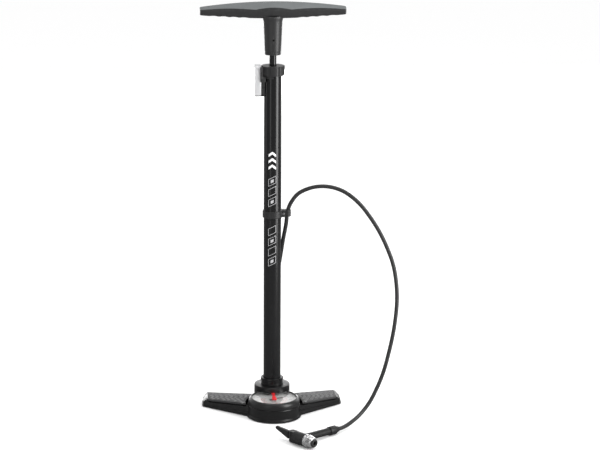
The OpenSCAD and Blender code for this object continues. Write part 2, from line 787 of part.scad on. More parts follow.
module case_lid() {
    color([0.88, 0.88, 0.88, 0.6]) difference() {
        union() {
            difference() {
                translate([box_x - box_w / 2, -box_depth / 2, lid_z + 0.1])
                    cube([box_w, box_depth, lid_h - 0.1]);
                at_lid_hinge() cylinder(r = knuckle_r + gap, h = 2 * box_w, center = true);
            }
            at_lid_hinge() cylinder(r = knuckle_r, h = knuckle_w, center = true);
            translate([box_x - knuckle_w / 2, box_depth / 2 - 2, lid_z + 0.4]) cube([knuckle_w, 2.5, 0.8]);
        }
        at_lid_hinge() cylinder(r = box_pin_r + run, h = box_w, center = true);
    }
}

module ball_needle() {
    color("silver") translate([box_x, needle_y, box_z + box_shell + 0.1]) {
        cylinder(r = 3.4, h = 8);
        translate([0, 0, 8]) cylinder(r = 2.4, h = 3);
        cylinder(r = 0.9, h = 38);
    }
}

module taper_nozzle() {
    color("#e8e8e4") translate([box_x, nozzle_y, box_z + box_shell + 0.1]) {
        cylinder(r = 3.6, h = 6);
        translate([0, 0, 6]) cylinder(r1 = 3.2, r2 = 1.2, h = 22);
    }
}

// ---------- hose ----------

module hose_barb() {
    color("#b9973f") translate([0, outlet_y, 0]) difference() {
        union() {
            translate([0, 0, passage_z]) cylinder(r = 3, h = base_top - passage_z);
            translate([0, 0, base_top]) cylinder(r = 6.2, h = 5, $fn = 6);
            translate([0, 0, base_top + 5]) cylinder(r = 1.7, h = 14);
        }
        translate([0, 0, passage_z - cut]) cylinder(r = 1, h = 40);
    }
}

module hose_ferrule() {
    z = base_top + 5;
    color("#1a1a1c") translate([0, outlet_y, 0]) difference() {
        ring(hose_r + 2, 0, z, ferrule_top - z, 0.6);
        translate([0, 0, z - cut]) cylinder(r = 1.7 + slip, h = 30);
        translate([0, 0, ferrule_top - 5]) cylinder(r = hose_r + slip, h = 6);
    }
}

module hose_clip() {
    loop_r = hose_r + 2.6;
    color("#1a1a1c") difference() {
        union() {
            ring(barrel_r + 2, 0, clip_z, clip_h, 0.5);
            translate([barrel_r, -3, clip_z]) cube([clip_hose[0] - barrel_r - hose_r, 12, clip_h]);
            translate([clip_hose[0], clip_hose[1], 0]) ring(loop_r, 0, clip_z, clip_h, 0.5);
        }
        translate([0, 0, clip_z - cut]) cylinder(r = barrel_r + slip, h = clip_h + 2 * cut);
        translate([clip_hose[0], clip_hose[1], clip_z - cut])
            cylinder(r = hose_r + slip, h = clip_h + 2 * cut);
        translate([clip_hose[0] - 7, 0, clip_z + clip_h / 2]) rotate([90, 0, 0])
            cylinder(r = 1.3 + slip, h = 30, center = true);
    }
}

module clip_screw() {
    color("silver") translate([clip_hose[0] - 7, -3, clip_z + clip_h / 2]) rotate([-90, 0, 0]) {
        cylinder(r = 1.3, h = 11);
        translate([0, 0, -1.4]) cylinder(r = 2.4, h = 1.4);
    }
}

module hose() {
    color("#2b2b2d") tube_along(smooth_route(hose_route, 2), hose_r, 8, [1, 0, 0]);
}

// ---------- pump head ----------

module at_head() {
    translate(head_pos) rotate(head_turn) children();
}

// A body turned about the head's valve axis, from a profile of [along, radius] points
module turned(profile) {
    rotate([0, 90, 0]) rotate_extrude() polygon([for (p = profile) [p[1], p[0]]]);
}

// Children drawn up +Z are laid along the stem
module at_stem() {
    at_head() rotate([stem_tilt, 0, 0]) rotate([-90, 0, 0]) children();
}

module head_body() {
    color("#18181a") difference() {
        union() {
            at_head() {
                turned([[-13, 0], [-13, head_r - 1], [-12, head_r], [spigot_x - 1, head_r],
                        [spigot_x, head_r - 0.8], [spigot_x, 8.4], [18, 8.4], [18, 0]]);
                // two ears for the lever's pin
                translate([pivot_x, 0, -9.2]) cylinder(r = 6.4, h = 18.4);
                translate([pivot_x, -6.4, -9.2]) cube([8, 12.8, 18.4]);
            }
            at_stem() cylinder(r = 7.4, h = 11);
        }
        at_head() {
            translate([-40, -20, -lever_t / 2 - gap]) cube([40 - 12, 40, lever_t + 2 * gap]);
            turned([[-14, 0], [-14, 3 + run], [13, 3 + run], [13, 0]]);
            translate([pivot_x, 0, -20]) cylinder(r = 1.5 + 0.02, h = 40);
            turned([[12, 0], [12, grommet_r + slip], [20, grommet_r + slip], [20, 0]]);
        }
        at_stem() cylinder(r = 2, h = 30);
    }
}

module head_plunger() {
    color("#c9c9c4") at_head() difference() {
        turned([[-12.2, 0], [-12.2, 3], [12.1, 3], [12.1, 5], [13.6, 5], [13.6, 0]]);
        turned([[0, 0], [0, 1.2], [20, 1.2], [20, 0]]);
    }
}

module valve_cap() {
    color("#d9d9dc") at_head() turned([
        [spigot_x + 0.2, 8.5], [spigot_x + 0.2, 10.4], [spigot_x + 1.2, 11.1], [18, 11.2], [22, 10.8],
        [26, 10], [28.6, 9], [30, 8.2], [30, grommet_r + slip], [18.3, grommet_r + slip], [18.3, 8.5]]);
}

module valve_grommet() {
    color("#1b1b1b") at_head() turned([
        [14, valve_d / 2], [14, grommet_r], [31.6, grommet_r], [33, 6.2], [33.4, 5], [33.4, valve_d / 2 + 1],
        [32.4, valve_d / 2]]);
}

module lever_pin() {
    color("silver") at_head() translate([pivot_x, 0, -8.8]) cylinder(r = 1.5, h = 17.6);
}

module head_lever() {
    start = lever_eye_r + 2;
    tip_r = 2.8;
    color("#2c2c2e") at_head() translate([pivot_x, 0, 0]) difference() {
        union() {
            translate([0, 0, -lever_t / 2]) cylinder(r = lever_eye_r, h = lever_t);
            translate([-start - 1, -2.6, -lever_t / 2]) cube([start + 1, 5.2, lever_t]);
            intersection() {
                // side view: a paddle that narrows to a round tip
                rotate([90, 0, 0]) translate([0, 0, -4]) linear_extrude(8) {
                    polygon([[-start, -6.4], [-start, 6.4], [-lever_length + tip_r, lever_rise + tip_r],
                             [-lever_length + tip_r, lever_rise - tip_r]]);
                    translate([-lever_length + tip_r, lever_rise]) circle(r = tip_r);
                }
                // top view: thick at the root and thin at the tip
                translate([0, 0, -10]) linear_extrude(20) polygon([
                    [-start, -3.4], [-start, 3.4], [-lever_length - 1, 1.9], [-lever_length - 1, -1.9]]);
            }
        }
        translate([0, 0, -10]) cylinder(r = 1.5 + run, h = 20);
    }
}

module head_stem() {
    flutes = 10;
    color("#242426") at_stem() difference() {
        ring(6.2, 2.4, 11.2, stem_end - 11.2, 0.6);
        for (i = [0 : flutes - 1]) rotate(i * 360 / flutes)
            translate([6.8, 0, 16]) cylinder(r = 0.9, h = stem_end - 24);
    }
}

module head_collar() {
    color("#1d1d1f") at_stem() difference() {
        union() {
            intersection() {
                ring(7.7, 0, stem_end + 0.2, 15, 0.8);
                translate([0, 0, stem_end]) cylinder(r = 8, h = 16, $fn = 8);
            }
            translate([0, 0, stem_end + 15.1]) cylinder(r1 = 6.6, r2 = 4.8, h = collar_end - stem_end - 15.1);
        }
        translate([0, 0, stem_end - cut]) cylinder(r = 2, h = 40);
        translate([0, 0, collar_end - 5]) cylinder(r = hose_r + slip, h = 8);
    }
}

base_body();
left_tread_pad();
right_tread_pad();
rubber_feet();
base_screws();
barrel_socket();
barrel_lock_ring();
barrel_gasket();
barrel();
check_valve_seat();
check_valve_poppet();
check_valve_spring();
valve_plug();
gauge_case();
gauge_nipple();
bourdon_tube();
gauge_movement();
sector_gear();
needle_pinion();
gauge_needle();
gauge_dial();
gauge_lens();
gauge_bezel();
pressure_marker();
barrel_cap();
rod_guide_bush();
top_bumper();
piston_seal();
piston_head();
piston_screw();
piston_rod();
handle_body();
handle_top_inlay();
handle_pin();
adapter_bracket();
adapter_case();
case_lid();
ball_needle();
taper_nozzle();
hose_barb();
hose_ferrule();
hose_clip();
clip_screw();
hose();
head_body();
head_stem();
head_collar();
valve_cap();
valve_grommet();
head_plunger();
lever_pin();
head_lever();
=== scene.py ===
import json
import math

import bmesh
import bpy
from mathutils import Matrix, Vector

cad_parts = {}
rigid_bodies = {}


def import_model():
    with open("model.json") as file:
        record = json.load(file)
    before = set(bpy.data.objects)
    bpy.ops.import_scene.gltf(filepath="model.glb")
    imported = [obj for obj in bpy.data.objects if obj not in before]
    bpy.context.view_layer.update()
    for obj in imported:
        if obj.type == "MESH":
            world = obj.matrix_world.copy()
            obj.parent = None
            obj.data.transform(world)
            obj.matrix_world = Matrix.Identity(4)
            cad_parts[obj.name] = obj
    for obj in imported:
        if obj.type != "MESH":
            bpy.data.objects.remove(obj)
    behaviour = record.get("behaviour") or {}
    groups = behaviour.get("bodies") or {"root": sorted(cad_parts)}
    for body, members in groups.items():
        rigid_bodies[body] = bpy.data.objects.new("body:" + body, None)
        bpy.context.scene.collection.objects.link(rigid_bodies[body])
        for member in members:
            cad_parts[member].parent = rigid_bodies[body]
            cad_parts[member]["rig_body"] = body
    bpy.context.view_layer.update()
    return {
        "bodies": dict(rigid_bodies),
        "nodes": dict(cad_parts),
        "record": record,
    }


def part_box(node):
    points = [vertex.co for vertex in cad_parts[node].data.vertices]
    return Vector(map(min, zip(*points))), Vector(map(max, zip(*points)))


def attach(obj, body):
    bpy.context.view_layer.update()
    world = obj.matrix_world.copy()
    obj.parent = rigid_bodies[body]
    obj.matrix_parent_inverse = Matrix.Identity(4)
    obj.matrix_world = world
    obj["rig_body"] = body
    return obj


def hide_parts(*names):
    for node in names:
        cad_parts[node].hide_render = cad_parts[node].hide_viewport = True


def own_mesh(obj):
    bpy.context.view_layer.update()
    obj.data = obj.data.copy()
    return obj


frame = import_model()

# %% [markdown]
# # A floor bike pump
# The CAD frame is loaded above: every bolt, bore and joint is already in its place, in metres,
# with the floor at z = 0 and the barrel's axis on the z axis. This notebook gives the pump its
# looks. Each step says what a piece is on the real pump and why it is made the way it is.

MM = 0.001
scene = bpy.context.scene
nodes = frame["nodes"]
slot_of = {part["node"]: part["material_slot"] for part in frame["record"]["subparts"]}
kept = set(nodes.values()) | set(frame["bodies"].values())
for leftover in [o for o in scene.objects if o not in kept]:
    bpy.data.objects.remove(leftover)
gauge_y = (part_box("gauge_dial")[0].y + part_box("gauge_dial")[1].y) / 2
print("frame:", len(nodes), "CAD nodes, gauge axis at y =", round(gauge_y, 4))

# %% [markdown]
# ## Camera
# A product shot of a tall, slim object is taken from far away with a long lens, so that the
# barrel stays almost parallel. The camera stands 3.6 m away at 1.2 m and looks down a little.

# %% Camera
CAMERA_DISTANCE = 3.57
CAMERA_HEIGHT = 1.2084
CAMERA_TURN = math.radians(-4)
CAMERA_PITCH = math.radians(13.875)
CAMERA_ROLL = math.radians(0.17)
CAMERA_LENS = 128.2
CAMERA_SHIFT = 0.046
camera = bpy.data.objects.new("camera", bpy.data.cameras.new("camera"))
camera.data.lens = CAMERA_LENS
camera.data.shift_x = CAMERA_SHIFT
camera.location = (CAMERA_DISTANCE * math.sin(CAMERA_TURN),
                   -CAMERA_DISTANCE * math.cos(CAMERA_TURN), CAMERA_HEIGHT)
aim = Matrix.Rotation(CAMERA_TURN, 3, "Z") @ Matrix.Rotation(math.pi / 2 - CAMERA_PITCH, 3, "X")
camera.rotation_euler = (aim @ Matrix.Rotation(CAMERA_ROLL, 3, "Z")).to_euler()
scene.collection.objects.link(camera)
scene.camera = camera
print("camera at", [round(c, 3) for c in camera.location])

# %% [markdown]
# ## Smooth curves through points
# A hose, the handle's cross-section and other soft lines are easiest to describe by a few points
# that a smooth curve runs through. The Catmull-Rom formula gives such a curve: it passes through
# every point, and its direction at each one follows the two neighbours.

# %% Catmull-Rom curve
def smooth_points(points, steps):
    """Points on the smooth curve through the given ones, with steps parts to each span."""
    spots = [Vector(p) for p in points]
    last = len(spots) - 1
    made = []
    for i in range(last):
        a, b, c, d = spots[max(i - 1, 0)], spots[i], spots[i + 1], spots[min(i + 2, last)]
        for k in range(steps):
            t = k / steps
            made.append(0.5 * (2 * b + (c - a) * t + (2 * a - 5 * b + 4 * c - d) * t * t
                               + (3 * b - a - 3 * c + d) * t ** 3))
    return made + [spots[last]]

# %% [markdown]
# ## Hose
# The rubber hose leaves the base behind the barrel, climbs to the clip, swings out in one wide
# loop and comes down to the head on the floor. A curve object with a round bevel is the natural
# way to draw it: the curve is the hose's centreline and the bevel is its thickness. The route
# is the CAD hose's own, so the physics model and the picture agree.

# %% Hose
HOSE_ROUTE = [
    (0, 40, 41), (0, 40, 60), (1, 40, 90), (2, 39, 120), (4, 37, 150), (6, 34, 180),
    (9, 30, 210), (12, 25, 240), (16, 19, 270), (20, 13, 300), (24, 7, 326),
    (26, 4, 347), (31, 1, 364), (43, -2, 381), (60, -6, 391), (80, -10, 396),
    (102, -15, 395), (124, -21, 387), (146, -28, 370), (164, -35, 348),
    (180, -42, 323), (193, -49, 296), (203, -56, 268), (208, -63, 238),
    (209, -69, 207), (206, -75, 176), (201, -79, 146), (194, -83, 116),
    (186, -86, 87), (175, -90, 60), (161, -97, 35), (143, -109, 17),
    (125, -127, 9), (111, -143, 7), (98.5, -154, 7.6),
]
HOSE_DIAMETER = 0.007
hose_line = smooth_points([Vector(p) * MM for p in HOSE_ROUTE], 4)
hose_curve = bpy.data.curves.new("pump_hose", "CURVE")
hose_curve.dimensions = "3D"
hose_curve.bevel_depth = HOSE_DIAMETER / 2
hose_curve.bevel_resolution = 5
hose_curve.use_fill_caps = True
spline = hose_curve.splines.new("POLY")
spline.points.add(len(hose_line) - 1)
for point, spot in zip(spline.points, hose_line):
    point.co = (*spot, 1)
pump_hose = bpy.data.objects.new("pump_hose", hose_curve)
scene.collection.objects.link(pump_hose)
print("hose:", round(sum((b - a).length for a, b in zip(hose_line, hose_line[1:])), 3), "m")

# %% [markdown]
# ## Floor and light
# The pump is black on a white ground, which is the hardest case for a picture: a glossy black
# tube shows only what it mirrors. So the room is kept dim for mirror rays and bright for
# everything else, and tall softboxes stand beside the pump to draw the long streaks on it.

# %% Studio floor
def material_with_nodes(name):
    """A new material, its node tree and its Principled shader."""
    material = bpy.data.materials.new(name)
    material.use_nodes = True
    tree = material.node_tree
    return material, tree, tree.nodes["Principled BSDF"]

def connect(tree, *wires):
    """Links sockets; each wire is (from node, its output, to node, its input)."""
    for start, output, end, entry in wires:
        tree.links.new(start.outputs[output], end.inputs[entry])

def mirror_rays(tree):
    """1 for rays that come off a glossy surface, and 0 for all others, glass included."""
    light_path = tree.nodes.new("ShaderNodeLightPath")
    only = tree.nodes.new("ShaderNodeMath")
    only.operation = "SUBTRACT"
    only.use_clamp = True
    connect(tree, (light_path, "Is Glossy Ray", only, 0),
            (light_path, "Is Transmission Ray", only, 1))
    return only.outputs["Value"]

FLOOR_SIZE = 30
FLOOR_DROP = 0.3 * MM
floor_material, tree, shader = material_with_nodes("studio_floor")
shader.inputs["Roughness"].default_value = 0.9
shader.inputs["Specular IOR Level"].default_value = 0.0
floor_tone = tree.nodes.new("ShaderNodeMix")
floor_tone.data_type = "RGBA"
floor_tone.inputs["A"].default_value = (0.96, 0.96, 0.96, 1)
tree.links.new(mirror_rays(tree), floor_tone.inputs["Factor"])
place = tree.nodes.new("ShaderNodeTexCoord")
split = tree.nodes.new("ShaderNodeSeparateXYZ")
far_floor = tree.nodes.new("ShaderNodeMapRange")
for label, value in (("From Min", 2.5), ("From Max", 4.0), ("To Min", 0.17), ("To Max", 0.9)):
    far_floor.inputs[label].default_value = value
connect(tree, (place, "Object", split, "Vector"), (split, "Y", far_floor, "Value"),
        (far_floor, "Result", floor_tone, "B"), (floor_tone, "Result", shader, "Base Color"))
floor_mesh = bpy.data.meshes.new("studio_floor")
half = FLOOR_SIZE / 2
floor_mesh.from_pydata([(-half, -half, 0), (half, -half, 0), (half, half, 0), (-half, half, 0)],
                       [], [(0, 1, 2, 3)])
floor_mesh.materials.append(floor_material)
floor = bpy.data.objects.new("studio_floor", floor_mesh)
floor.location.z = -FLOOR_DROP
scene.collection.objects.link(floor)

# %% World and softboxes
world = bpy.data.worlds.new("studio")
world.use_nodes = True
scene.world = world
tree = world.node_tree
background = tree.nodes["Background"]
room_tone = tree.nodes.new("ShaderNodeMix")
room_tone.data_type = "RGBA"
room_tone.inputs["A"].default_value = (1.0, 1.0, 1.0, 1)
tree.links.new(mirror_rays(tree), room_tone.inputs["Factor"])
direction = tree.nodes.new("ShaderNodeTexCoord")
split = tree.nodes.new("ShaderNodeSeparateXYZ")
backdrop = tree.nodes.new("ShaderNodeMapRange")
for label, value in (("From Min", 0.35), ("From Max", 0.85), ("To Min", 0.14), ("To Max", 1.0)):
    backdrop.inputs[label].default_value = value
connect(tree, (direction, "Generated", split, "Vector"), (split, "Y", backdrop, "Value"),
        (backdrop, "Result", room_tone, "B"), (room_tone, "Result", background, "Color"))
background.inputs["Strength"].default_value = 1.02
scene.view_settings.view_transform = "Standard"

def softbox(name, turn, distance, width, height, middle, power):
    """A tall light that faces the barrel; turn is its direction from the front, to the right."""
    data = bpy.data.lights.new(name, "AREA")
    data.shape = "RECTANGLE"
    data.size = width
    data.size_y = height
    data.energy = power
    light = bpy.data.objects.new(name, data)
    a = math.radians(turn)
    light.location = (distance * math.sin(a), -distance * math.cos(a), middle)
    aim = Vector((0, 0, middle)) - light.location
    light.rotation_euler = aim.to_track_quat("-Z", "Y").to_euler()
    light.visible_camera = False
    scene.collection.objects.link(light)
    return light

softbox("streak_right", 58, 1.25, 0.62, 1.5, 0.76, 17)
softbox("streak_left", -32, 1.4, 0.22, 1.5, 0.76, 1.7)
softbox("side_left", -100, 1.6, 0.5, 1.4, 0.75, 1.2)
softbox("back_right", 140, 1.8, 0.5, 1.4, 0.75, 2.5)
softbox("low_back", 180, 3.5, 3.0, 0.5, 0.28, 36)
top_light = softbox("top", 0, 0.01, 1.4, 1.4, 2.2, 12)
top_light.rotation_euler = (0, 0, 0)

# %% [markdown]
# ## Shared surface effects
# Real moulded plastic is never one flat colour: it has a fine grain from the mould, it is rubbed
# lighter along its edges, and dust settles on what faces up. These three effects appear in many
# of the finishes, so each is a node group: built once, used with its own numbers everywhere.

# %% Node group helpers
def effect_group(name, inputs, outputs):
    """An empty shader node group with named float sockets, its input node and output node."""
    group = bpy.data.node_groups.new(name, "ShaderNodeTree")
    for label, value in inputs:
        socket = group.interface.new_socket(label, in_out="INPUT", socket_type="NodeSocketFloat")
        socket.default_value = value
    for label in outputs:
        group.interface.new_socket(label, in_out="OUTPUT", socket_type="NodeSocketFloat")
    return group, group.nodes.new("NodeGroupInput"), group.nodes.new("NodeGroupOutput")

def add(tree, kind, **settings):
    """A new node with its settings; a key that names an input socket sets that socket."""
    made = tree.nodes.new(kind)
    for key, value in settings.items():
        if hasattr(made, key):
            setattr(made, key, value)
        else:
            made.inputs[key.replace("_", " ")].default_value = value
    return made

# %% Grain, edge wear and dust
grain_group, given, result = effect_group(
    "mould_grain", [("Scale", 900), ("Patch Scale", 30)], ["Height", "Patches"])
place = add(grain_group, "ShaderNodeTexCoord")
fine = add(grain_group, "ShaderNodeTexNoise", Detail=3, Roughness=0.6)
patches = add(grain_group, "ShaderNodeTexNoise", Detail=4, Roughness=0.55)
connect(grain_group, (place, "Object", fine, "Vector"), (place, "Object", patches, "Vector"),
        (given, "Scale", fine, "Scale"), (given, "Patch Scale", patches, "Scale"),
        (fine, "Fac", result, "Height"), (patches, "Fac", result, "Patches"))

wear_group, given, result = effect_group(
    "edge_wear", [("Start", 0.52), ("End", 0.60), ("Break Up", 260)], ["Mask"])
shape = add(wear_group, "ShaderNodeNewGeometry")
place = add(wear_group, "ShaderNodeTexCoord")
edges = add(wear_group, "ShaderNodeMapRange")
broken = add(wear_group, "ShaderNodeTexNoise", Detail=4)
soften = add(wear_group, "ShaderNodeMapRange", From_Min=0.35, From_Max=0.7)
mask = add(wear_group, "ShaderNodeMath", operation="MULTIPLY", use_clamp=True)
connect(wear_group, (shape, "Pointiness", edges, "Value"), (given, "Start", edges, "From Min"),
        (given, "End", edges, "From Max"), (place, "Object", broken, "Vector"),
        (given, "Break Up", broken, "Scale"), (broken, "Fac", soften, "Value"),
        (edges, "Result", mask, 0), (soften, "Result", mask, 1), (mask, "Value", result, "Mask"))

dust_group, given, result = effect_group(
    "settled_dust", [("Scale", 140), ("Amount", 0.5)], ["Mask"])
shape = add(dust_group, "ShaderNodeNewGeometry")
place = add(dust_group, "ShaderNodeTexCoord")
split = add(dust_group, "ShaderNodeSeparateXYZ")
facing_up = add(dust_group, "ShaderNodeMapRange", From_Min=0.4, From_Max=1.0)
specks = add(dust_group, "ShaderNodeTexNoise", Detail=6, Roughness=0.7)
scatter = add(dust_group, "ShaderNodeMapRange", From_Min=0.42, From_Max=0.75)
times = add(dust_group, "ShaderNodeMath", operation="MULTIPLY")
mask = add(dust_group, "ShaderNodeMath", operation="MULTIPLY", use_clamp=True)
connect(dust_group, (shape, "Normal", split, "Vector"), (split, "Z", facing_up, "Value"),
        (place, "Object", specks, "Vector"), (given, "Scale", specks, "Scale"),
        (specks, "Fac", scatter, "Value"), (facing_up, "Result", times, 0),
        (scatter, "Result", times, 1), (times, "Value", mask, 0), (given, "Amount", mask, 1),
        (mask, "Value", result, "Mask"))
print("effects:", [g.name for g in bpy.data.node_groups])

# %% [markdown]
# ## Moulded, rubber and painted finishes
# Most of the pump is black, and what tells one black from another is how rough it is, how fine
# its grain is and how far its edges have gone grey. One function builds them all from those
# numbers, so every finish has grain in its bump, patches in its roughness, worn edges and dust.

# %% Moulded finish
def group_node(tree, group, **values):
    """An effect group placed in a material with its own numbers."""
    made = tree.nodes.new("ShaderNodeGroup")
    made.node_tree = group
    for key, value in values.items():
        made.inputs[key.replace("_", " ")].default_value = value
    return made

def mix_colour(tree, factor, a, b):
    """A colour mix; a and b are colours or output sockets."""
    mix = tree.nodes.new("ShaderNodeMix")
    mix.data_type = "RGBA"
    tree.links.new(factor, mix.inputs["Factor"])
    for label, value in (("A", a), ("B", b)):
        if isinstance(value, tuple):
            mix.inputs[label].default_value = (*value, 1)
        else:
            tree.links.new(value, mix.inputs[label])
    return mix.outputs["Result"]

def moulded(name, colour, roughness, grain=900, depth=0.02, worn=0.2, dust=0.012, gloss=0.5,
            patchy=0.12):
    """A plastic, rubber or paint; worn is how light its edges go and depth is in millimetres."""
    material, tree, shader = material_with_nodes(name)
    texture = group_node(tree, grain_group, Scale=grain, Patch_Scale=35)
    wear = group_node(tree, wear_group)
    settled = group_node(tree, dust_group, Amount=dust)
    tint = mix_colour(tree, texture.outputs["Patches"], tuple(c * 0.82 for c in colour),
                      tuple(c * 1.18 for c in colour))
    edge = mix_colour(tree, wear.outputs["Mask"], tint,
                      tuple(c + (0.35 - c) * worn * 0.4 for c in colour))
    dusted = mix_colour(tree, settled.outputs["Mask"], edge, (0.30, 0.29, 0.27))
    tree.links.new(dusted, shader.inputs["Base Color"])
    rough = add(tree, "ShaderNodeMapRange", To_Min=roughness * (1 - patchy),
                To_Max=min(1.0, roughness * (1 + patchy)))
    connect(tree, (texture, "Patches", rough, "Value"), (rough, "Result", shader, "Roughness"))
    bump = add(tree, "ShaderNodeBump", Distance=depth * MM, Strength=1.0)
    connect(tree, (texture, "Height", bump, "Height"), (bump, "Normal", shader, "Normal"))
    shader.inputs["Specular IOR Level"].default_value = gloss
    return material

MOULDED = {
    "base_plastic": dict(colour=(0.0055, 0.0055, 0.0057), roughness=0.30, depth=0.012, worn=0.06),
    "tread": dict(colour=(0.105, 0.105, 0.107), roughness=0.62, grain=1300, depth=0.03, worn=0.6),
    "foot_rubber": dict(colour=(0.015, 0.015, 0.015), roughness=0.75, depth=0.03),
    "barrel_paint": dict(colour=(0.006, 0.006, 0.0065), roughness=0.22, grain=420, depth=0.0004,
                         worn=0.2, dust=0.0, gloss=0.5, patchy=0.2),
    "rod_paint": dict(colour=(0.006, 0.006, 0.0065), roughness=0.12, grain=420, depth=0.0004,
                      worn=0.2, dust=0.0),
    "valve_rubber": dict(colour=(0.018, 0.018, 0.018), roughness=0.55),
    "needle_black": dict(colour=(0.01, 0.01, 0.01), roughness=0.4),
    "bezel": dict(colour=(0.009, 0.009, 0.0092), roughness=0.34, depth=0.01, gloss=0.55),
    "marker_red": dict(colour=(0.62, 0.025, 0.03), roughness=0.25, depth=0.004, worn=0.1,
                       dust=0.02),
    "cap_plastic": dict(colour=(0.016, 0.016, 0.0165), roughness=0.42, depth=0.02),
    "bush_plastic": dict(colour=(0.66, 0.66, 0.61), roughness=0.45, worn=0.0, dust=0.05),
    "seal_rubber": dict(colour=(0.02, 0.02, 0.02), roughness=0.3),
    "handle_plastic": dict(colour=(0.020, 0.020, 0.0205), roughness=0.40, grain=1500, depth=0.015),
    "handle_soft": dict(colour=(0.120, 0.128, 0.130), roughness=0.68, grain=1700, depth=0.03,
                        worn=0.25, gloss=0.35),
    "nozzle_plastic": dict(colour=(0.62, 0.62, 0.58), roughness=0.4, worn=0.0, dust=0.0),
    "hose_rubber": dict(colour=(0.018, 0.018, 0.0185), roughness=0.42, grain=1400, depth=0.02,
                        dust=0.03),
    "ferrule_plastic": dict(colour=(0.010, 0.010, 0.0103), roughness=0.38),
    "head_plastic": dict(colour=(0.006, 0.006, 0.0062), roughness=0.36, depth=0.012, worn=0.1),
    "lever_plastic": dict(colour=(0.010, 0.010, 0.0103), roughness=0.42),
}
finishes = {name: moulded(name, **numbers) for name, numbers in MOULDED.items()}
# The pad's floor between the studs is the tread rubber painted darker: painted shade between the studs,
# so that the studs stand out lighter.
tread_shaded_floor = moulded("tread_shaded_floor", (0.028, 0.028, 0.029), 0.6, grain=1300, depth=0.03)
print("moulded finishes:", len(finishes))

# %% [markdown]
# ## Metals
# Turned and drawn metal carries fine lines from the tool or the die. A noise that is stretched
# along one direction gives them: the same lines drive the bump and the roughness, so that a
# highlight breaks up along the lines as it does on the real thing.

# %% Metal finish
def metal(name, colour, roughness, stretch, depth=0.004, tarnish=0.2):
    """A bare metal; stretch is how dense its fine lines are along x, y and z."""
    material, tree, shader = material_with_nodes(name)
    place = add(tree, "ShaderNodeTexCoord")
    along = add(tree, "ShaderNodeMapping")
    along.inputs["Scale"].default_value = stretch
    lines = add(tree, "ShaderNodeTexNoise", Scale=1, Detail=5, Roughness=0.6)
    texture = group_node(tree, grain_group, Scale=300, Patch_Scale=60)
    connect(tree, (place, "Object", along, "Vector"), (along, "Vector", lines, "Vector"))
    tint = mix_colour(tree, texture.outputs["Patches"], colour,
                      tuple(c * (1 - tarnish) for c in colour))
    tree.links.new(tint, shader.inputs["Base Color"])
    rough = add(tree, "ShaderNodeMapRange", To_Min=roughness * 0.7, To_Max=roughness * 1.5)
    connect(tree, (lines, "Fac", rough, "Value"), (rough, "Result", shader, "Roughness"))
    bump = add(tree, "ShaderNodeBump", Distance=depth * MM)
    connect(tree, (lines, "Fac", bump, "Height"), (bump, "Normal", shader, "Normal"))
    shader.inputs["Metallic"].default_value = 1.0
    return material

finishes["screw_steel"] = metal("screw_steel", (0.50, 0.50, 0.51), 0.28, (900, 900, 90))
finishes["brass"] = metal("brass", (0.72, 0.50, 0.22), 0.26, (120, 120, 1200))
finishes["spring_steel"] = metal("spring_steel", (0.55, 0.55, 0.56), 0.22, (300, 300, 300))
finishes["case_steel"] = metal("case_steel", (0.50, 0.50, 0.50), 0.3, (90, 90, 1500))
finishes["gauge_brass"] = metal("gauge_brass", (0.74, 0.54, 0.25), 0.3, (700, 60, 60))
# Near-black steel for the handle's cross pin, whose slot is the brushed screw steel: partly a dark
# burnished finish, partly painted shade in the pin's recessed hole.
shaded_pin_steel = metal("shaded_pin_steel", (0.03, 0.03, 0.032), 0.4, (300, 300, 300))
finishes["chrome"] = metal("chrome", (0.93, 0.93, 0.94), 0.24, (500, 500, 500), 0.001, 0.05)

# %% [markdown]
# ## Clear and frosted plastic, and the dial's print
# The gauge's lens is clear: nearly all light passes and only the surface mirrors. The adapter
# case is frosted, so light is scattered as it passes. The dial is printed metal whose white
# is a little uneven.

# %% Lens, frosted case and dial
lens_clear, tree, shader = material_with_nodes("lens_clear")
shader.inputs["Base Color"].default_value = (1, 1, 1, 1)
shader.inputs["Transmission Weight"].default_value = 1.0
shader.inputs["IOR"].default_value = 1.45
ray = add(tree, "ShaderNodeLightPath")
light_only = add(tree, "ShaderNodeMath", operation="MAXIMUM")
see_through = add(tree, "ShaderNodeMath", operation="SUBTRACT")
see_through.inputs[0].default_value = 1.0
connect(tree, (ray, "Is Shadow Ray", light_only, 0), (ray, "Is Diffuse Ray", light_only, 1),
        (light_only, "Value", see_through, 1), (see_through, "Value", shader, "Alpha"))
smears = group_node(tree, grain_group, Scale=60, Patch_Scale=25)
rough = add(tree, "ShaderNodeMapRange", From_Min=0.4, From_Max=0.8, To_Min=0.0, To_Max=0.05)
connect(tree, (smears, "Patches", rough, "Value"), (rough, "Result", shader, "Roughness"))
finishes["lens"] = lens_clear

frosted, tree, shader = material_with_nodes("case_frost")
shader.inputs["Transmission Weight"].default_value = 0.45
shader.inputs["IOR"].default_value = 1.40
frost = group_node(tree, grain_group, Scale=1100, Patch_Scale=90)
tint = mix_colour(tree, frost.outputs["Patches"], (0.62, 0.62, 0.63), (0.78, 0.78, 0.79))
tree.links.new(tint, shader.inputs["Base Color"])
rough = add(tree, "ShaderNodeMapRange", To_Min=0.32, To_Max=0.5)
connect(tree, (frost, "Patches", rough, "Value"), (rough, "Result", shader, "Roughness"))
bump = add(tree, "ShaderNodeBump", Distance=0.03 * MM)
connect(tree, (frost, "Height", bump, "Height"), (bump, "Normal", shader, "Normal"))
finishes["case_frost"] = frosted

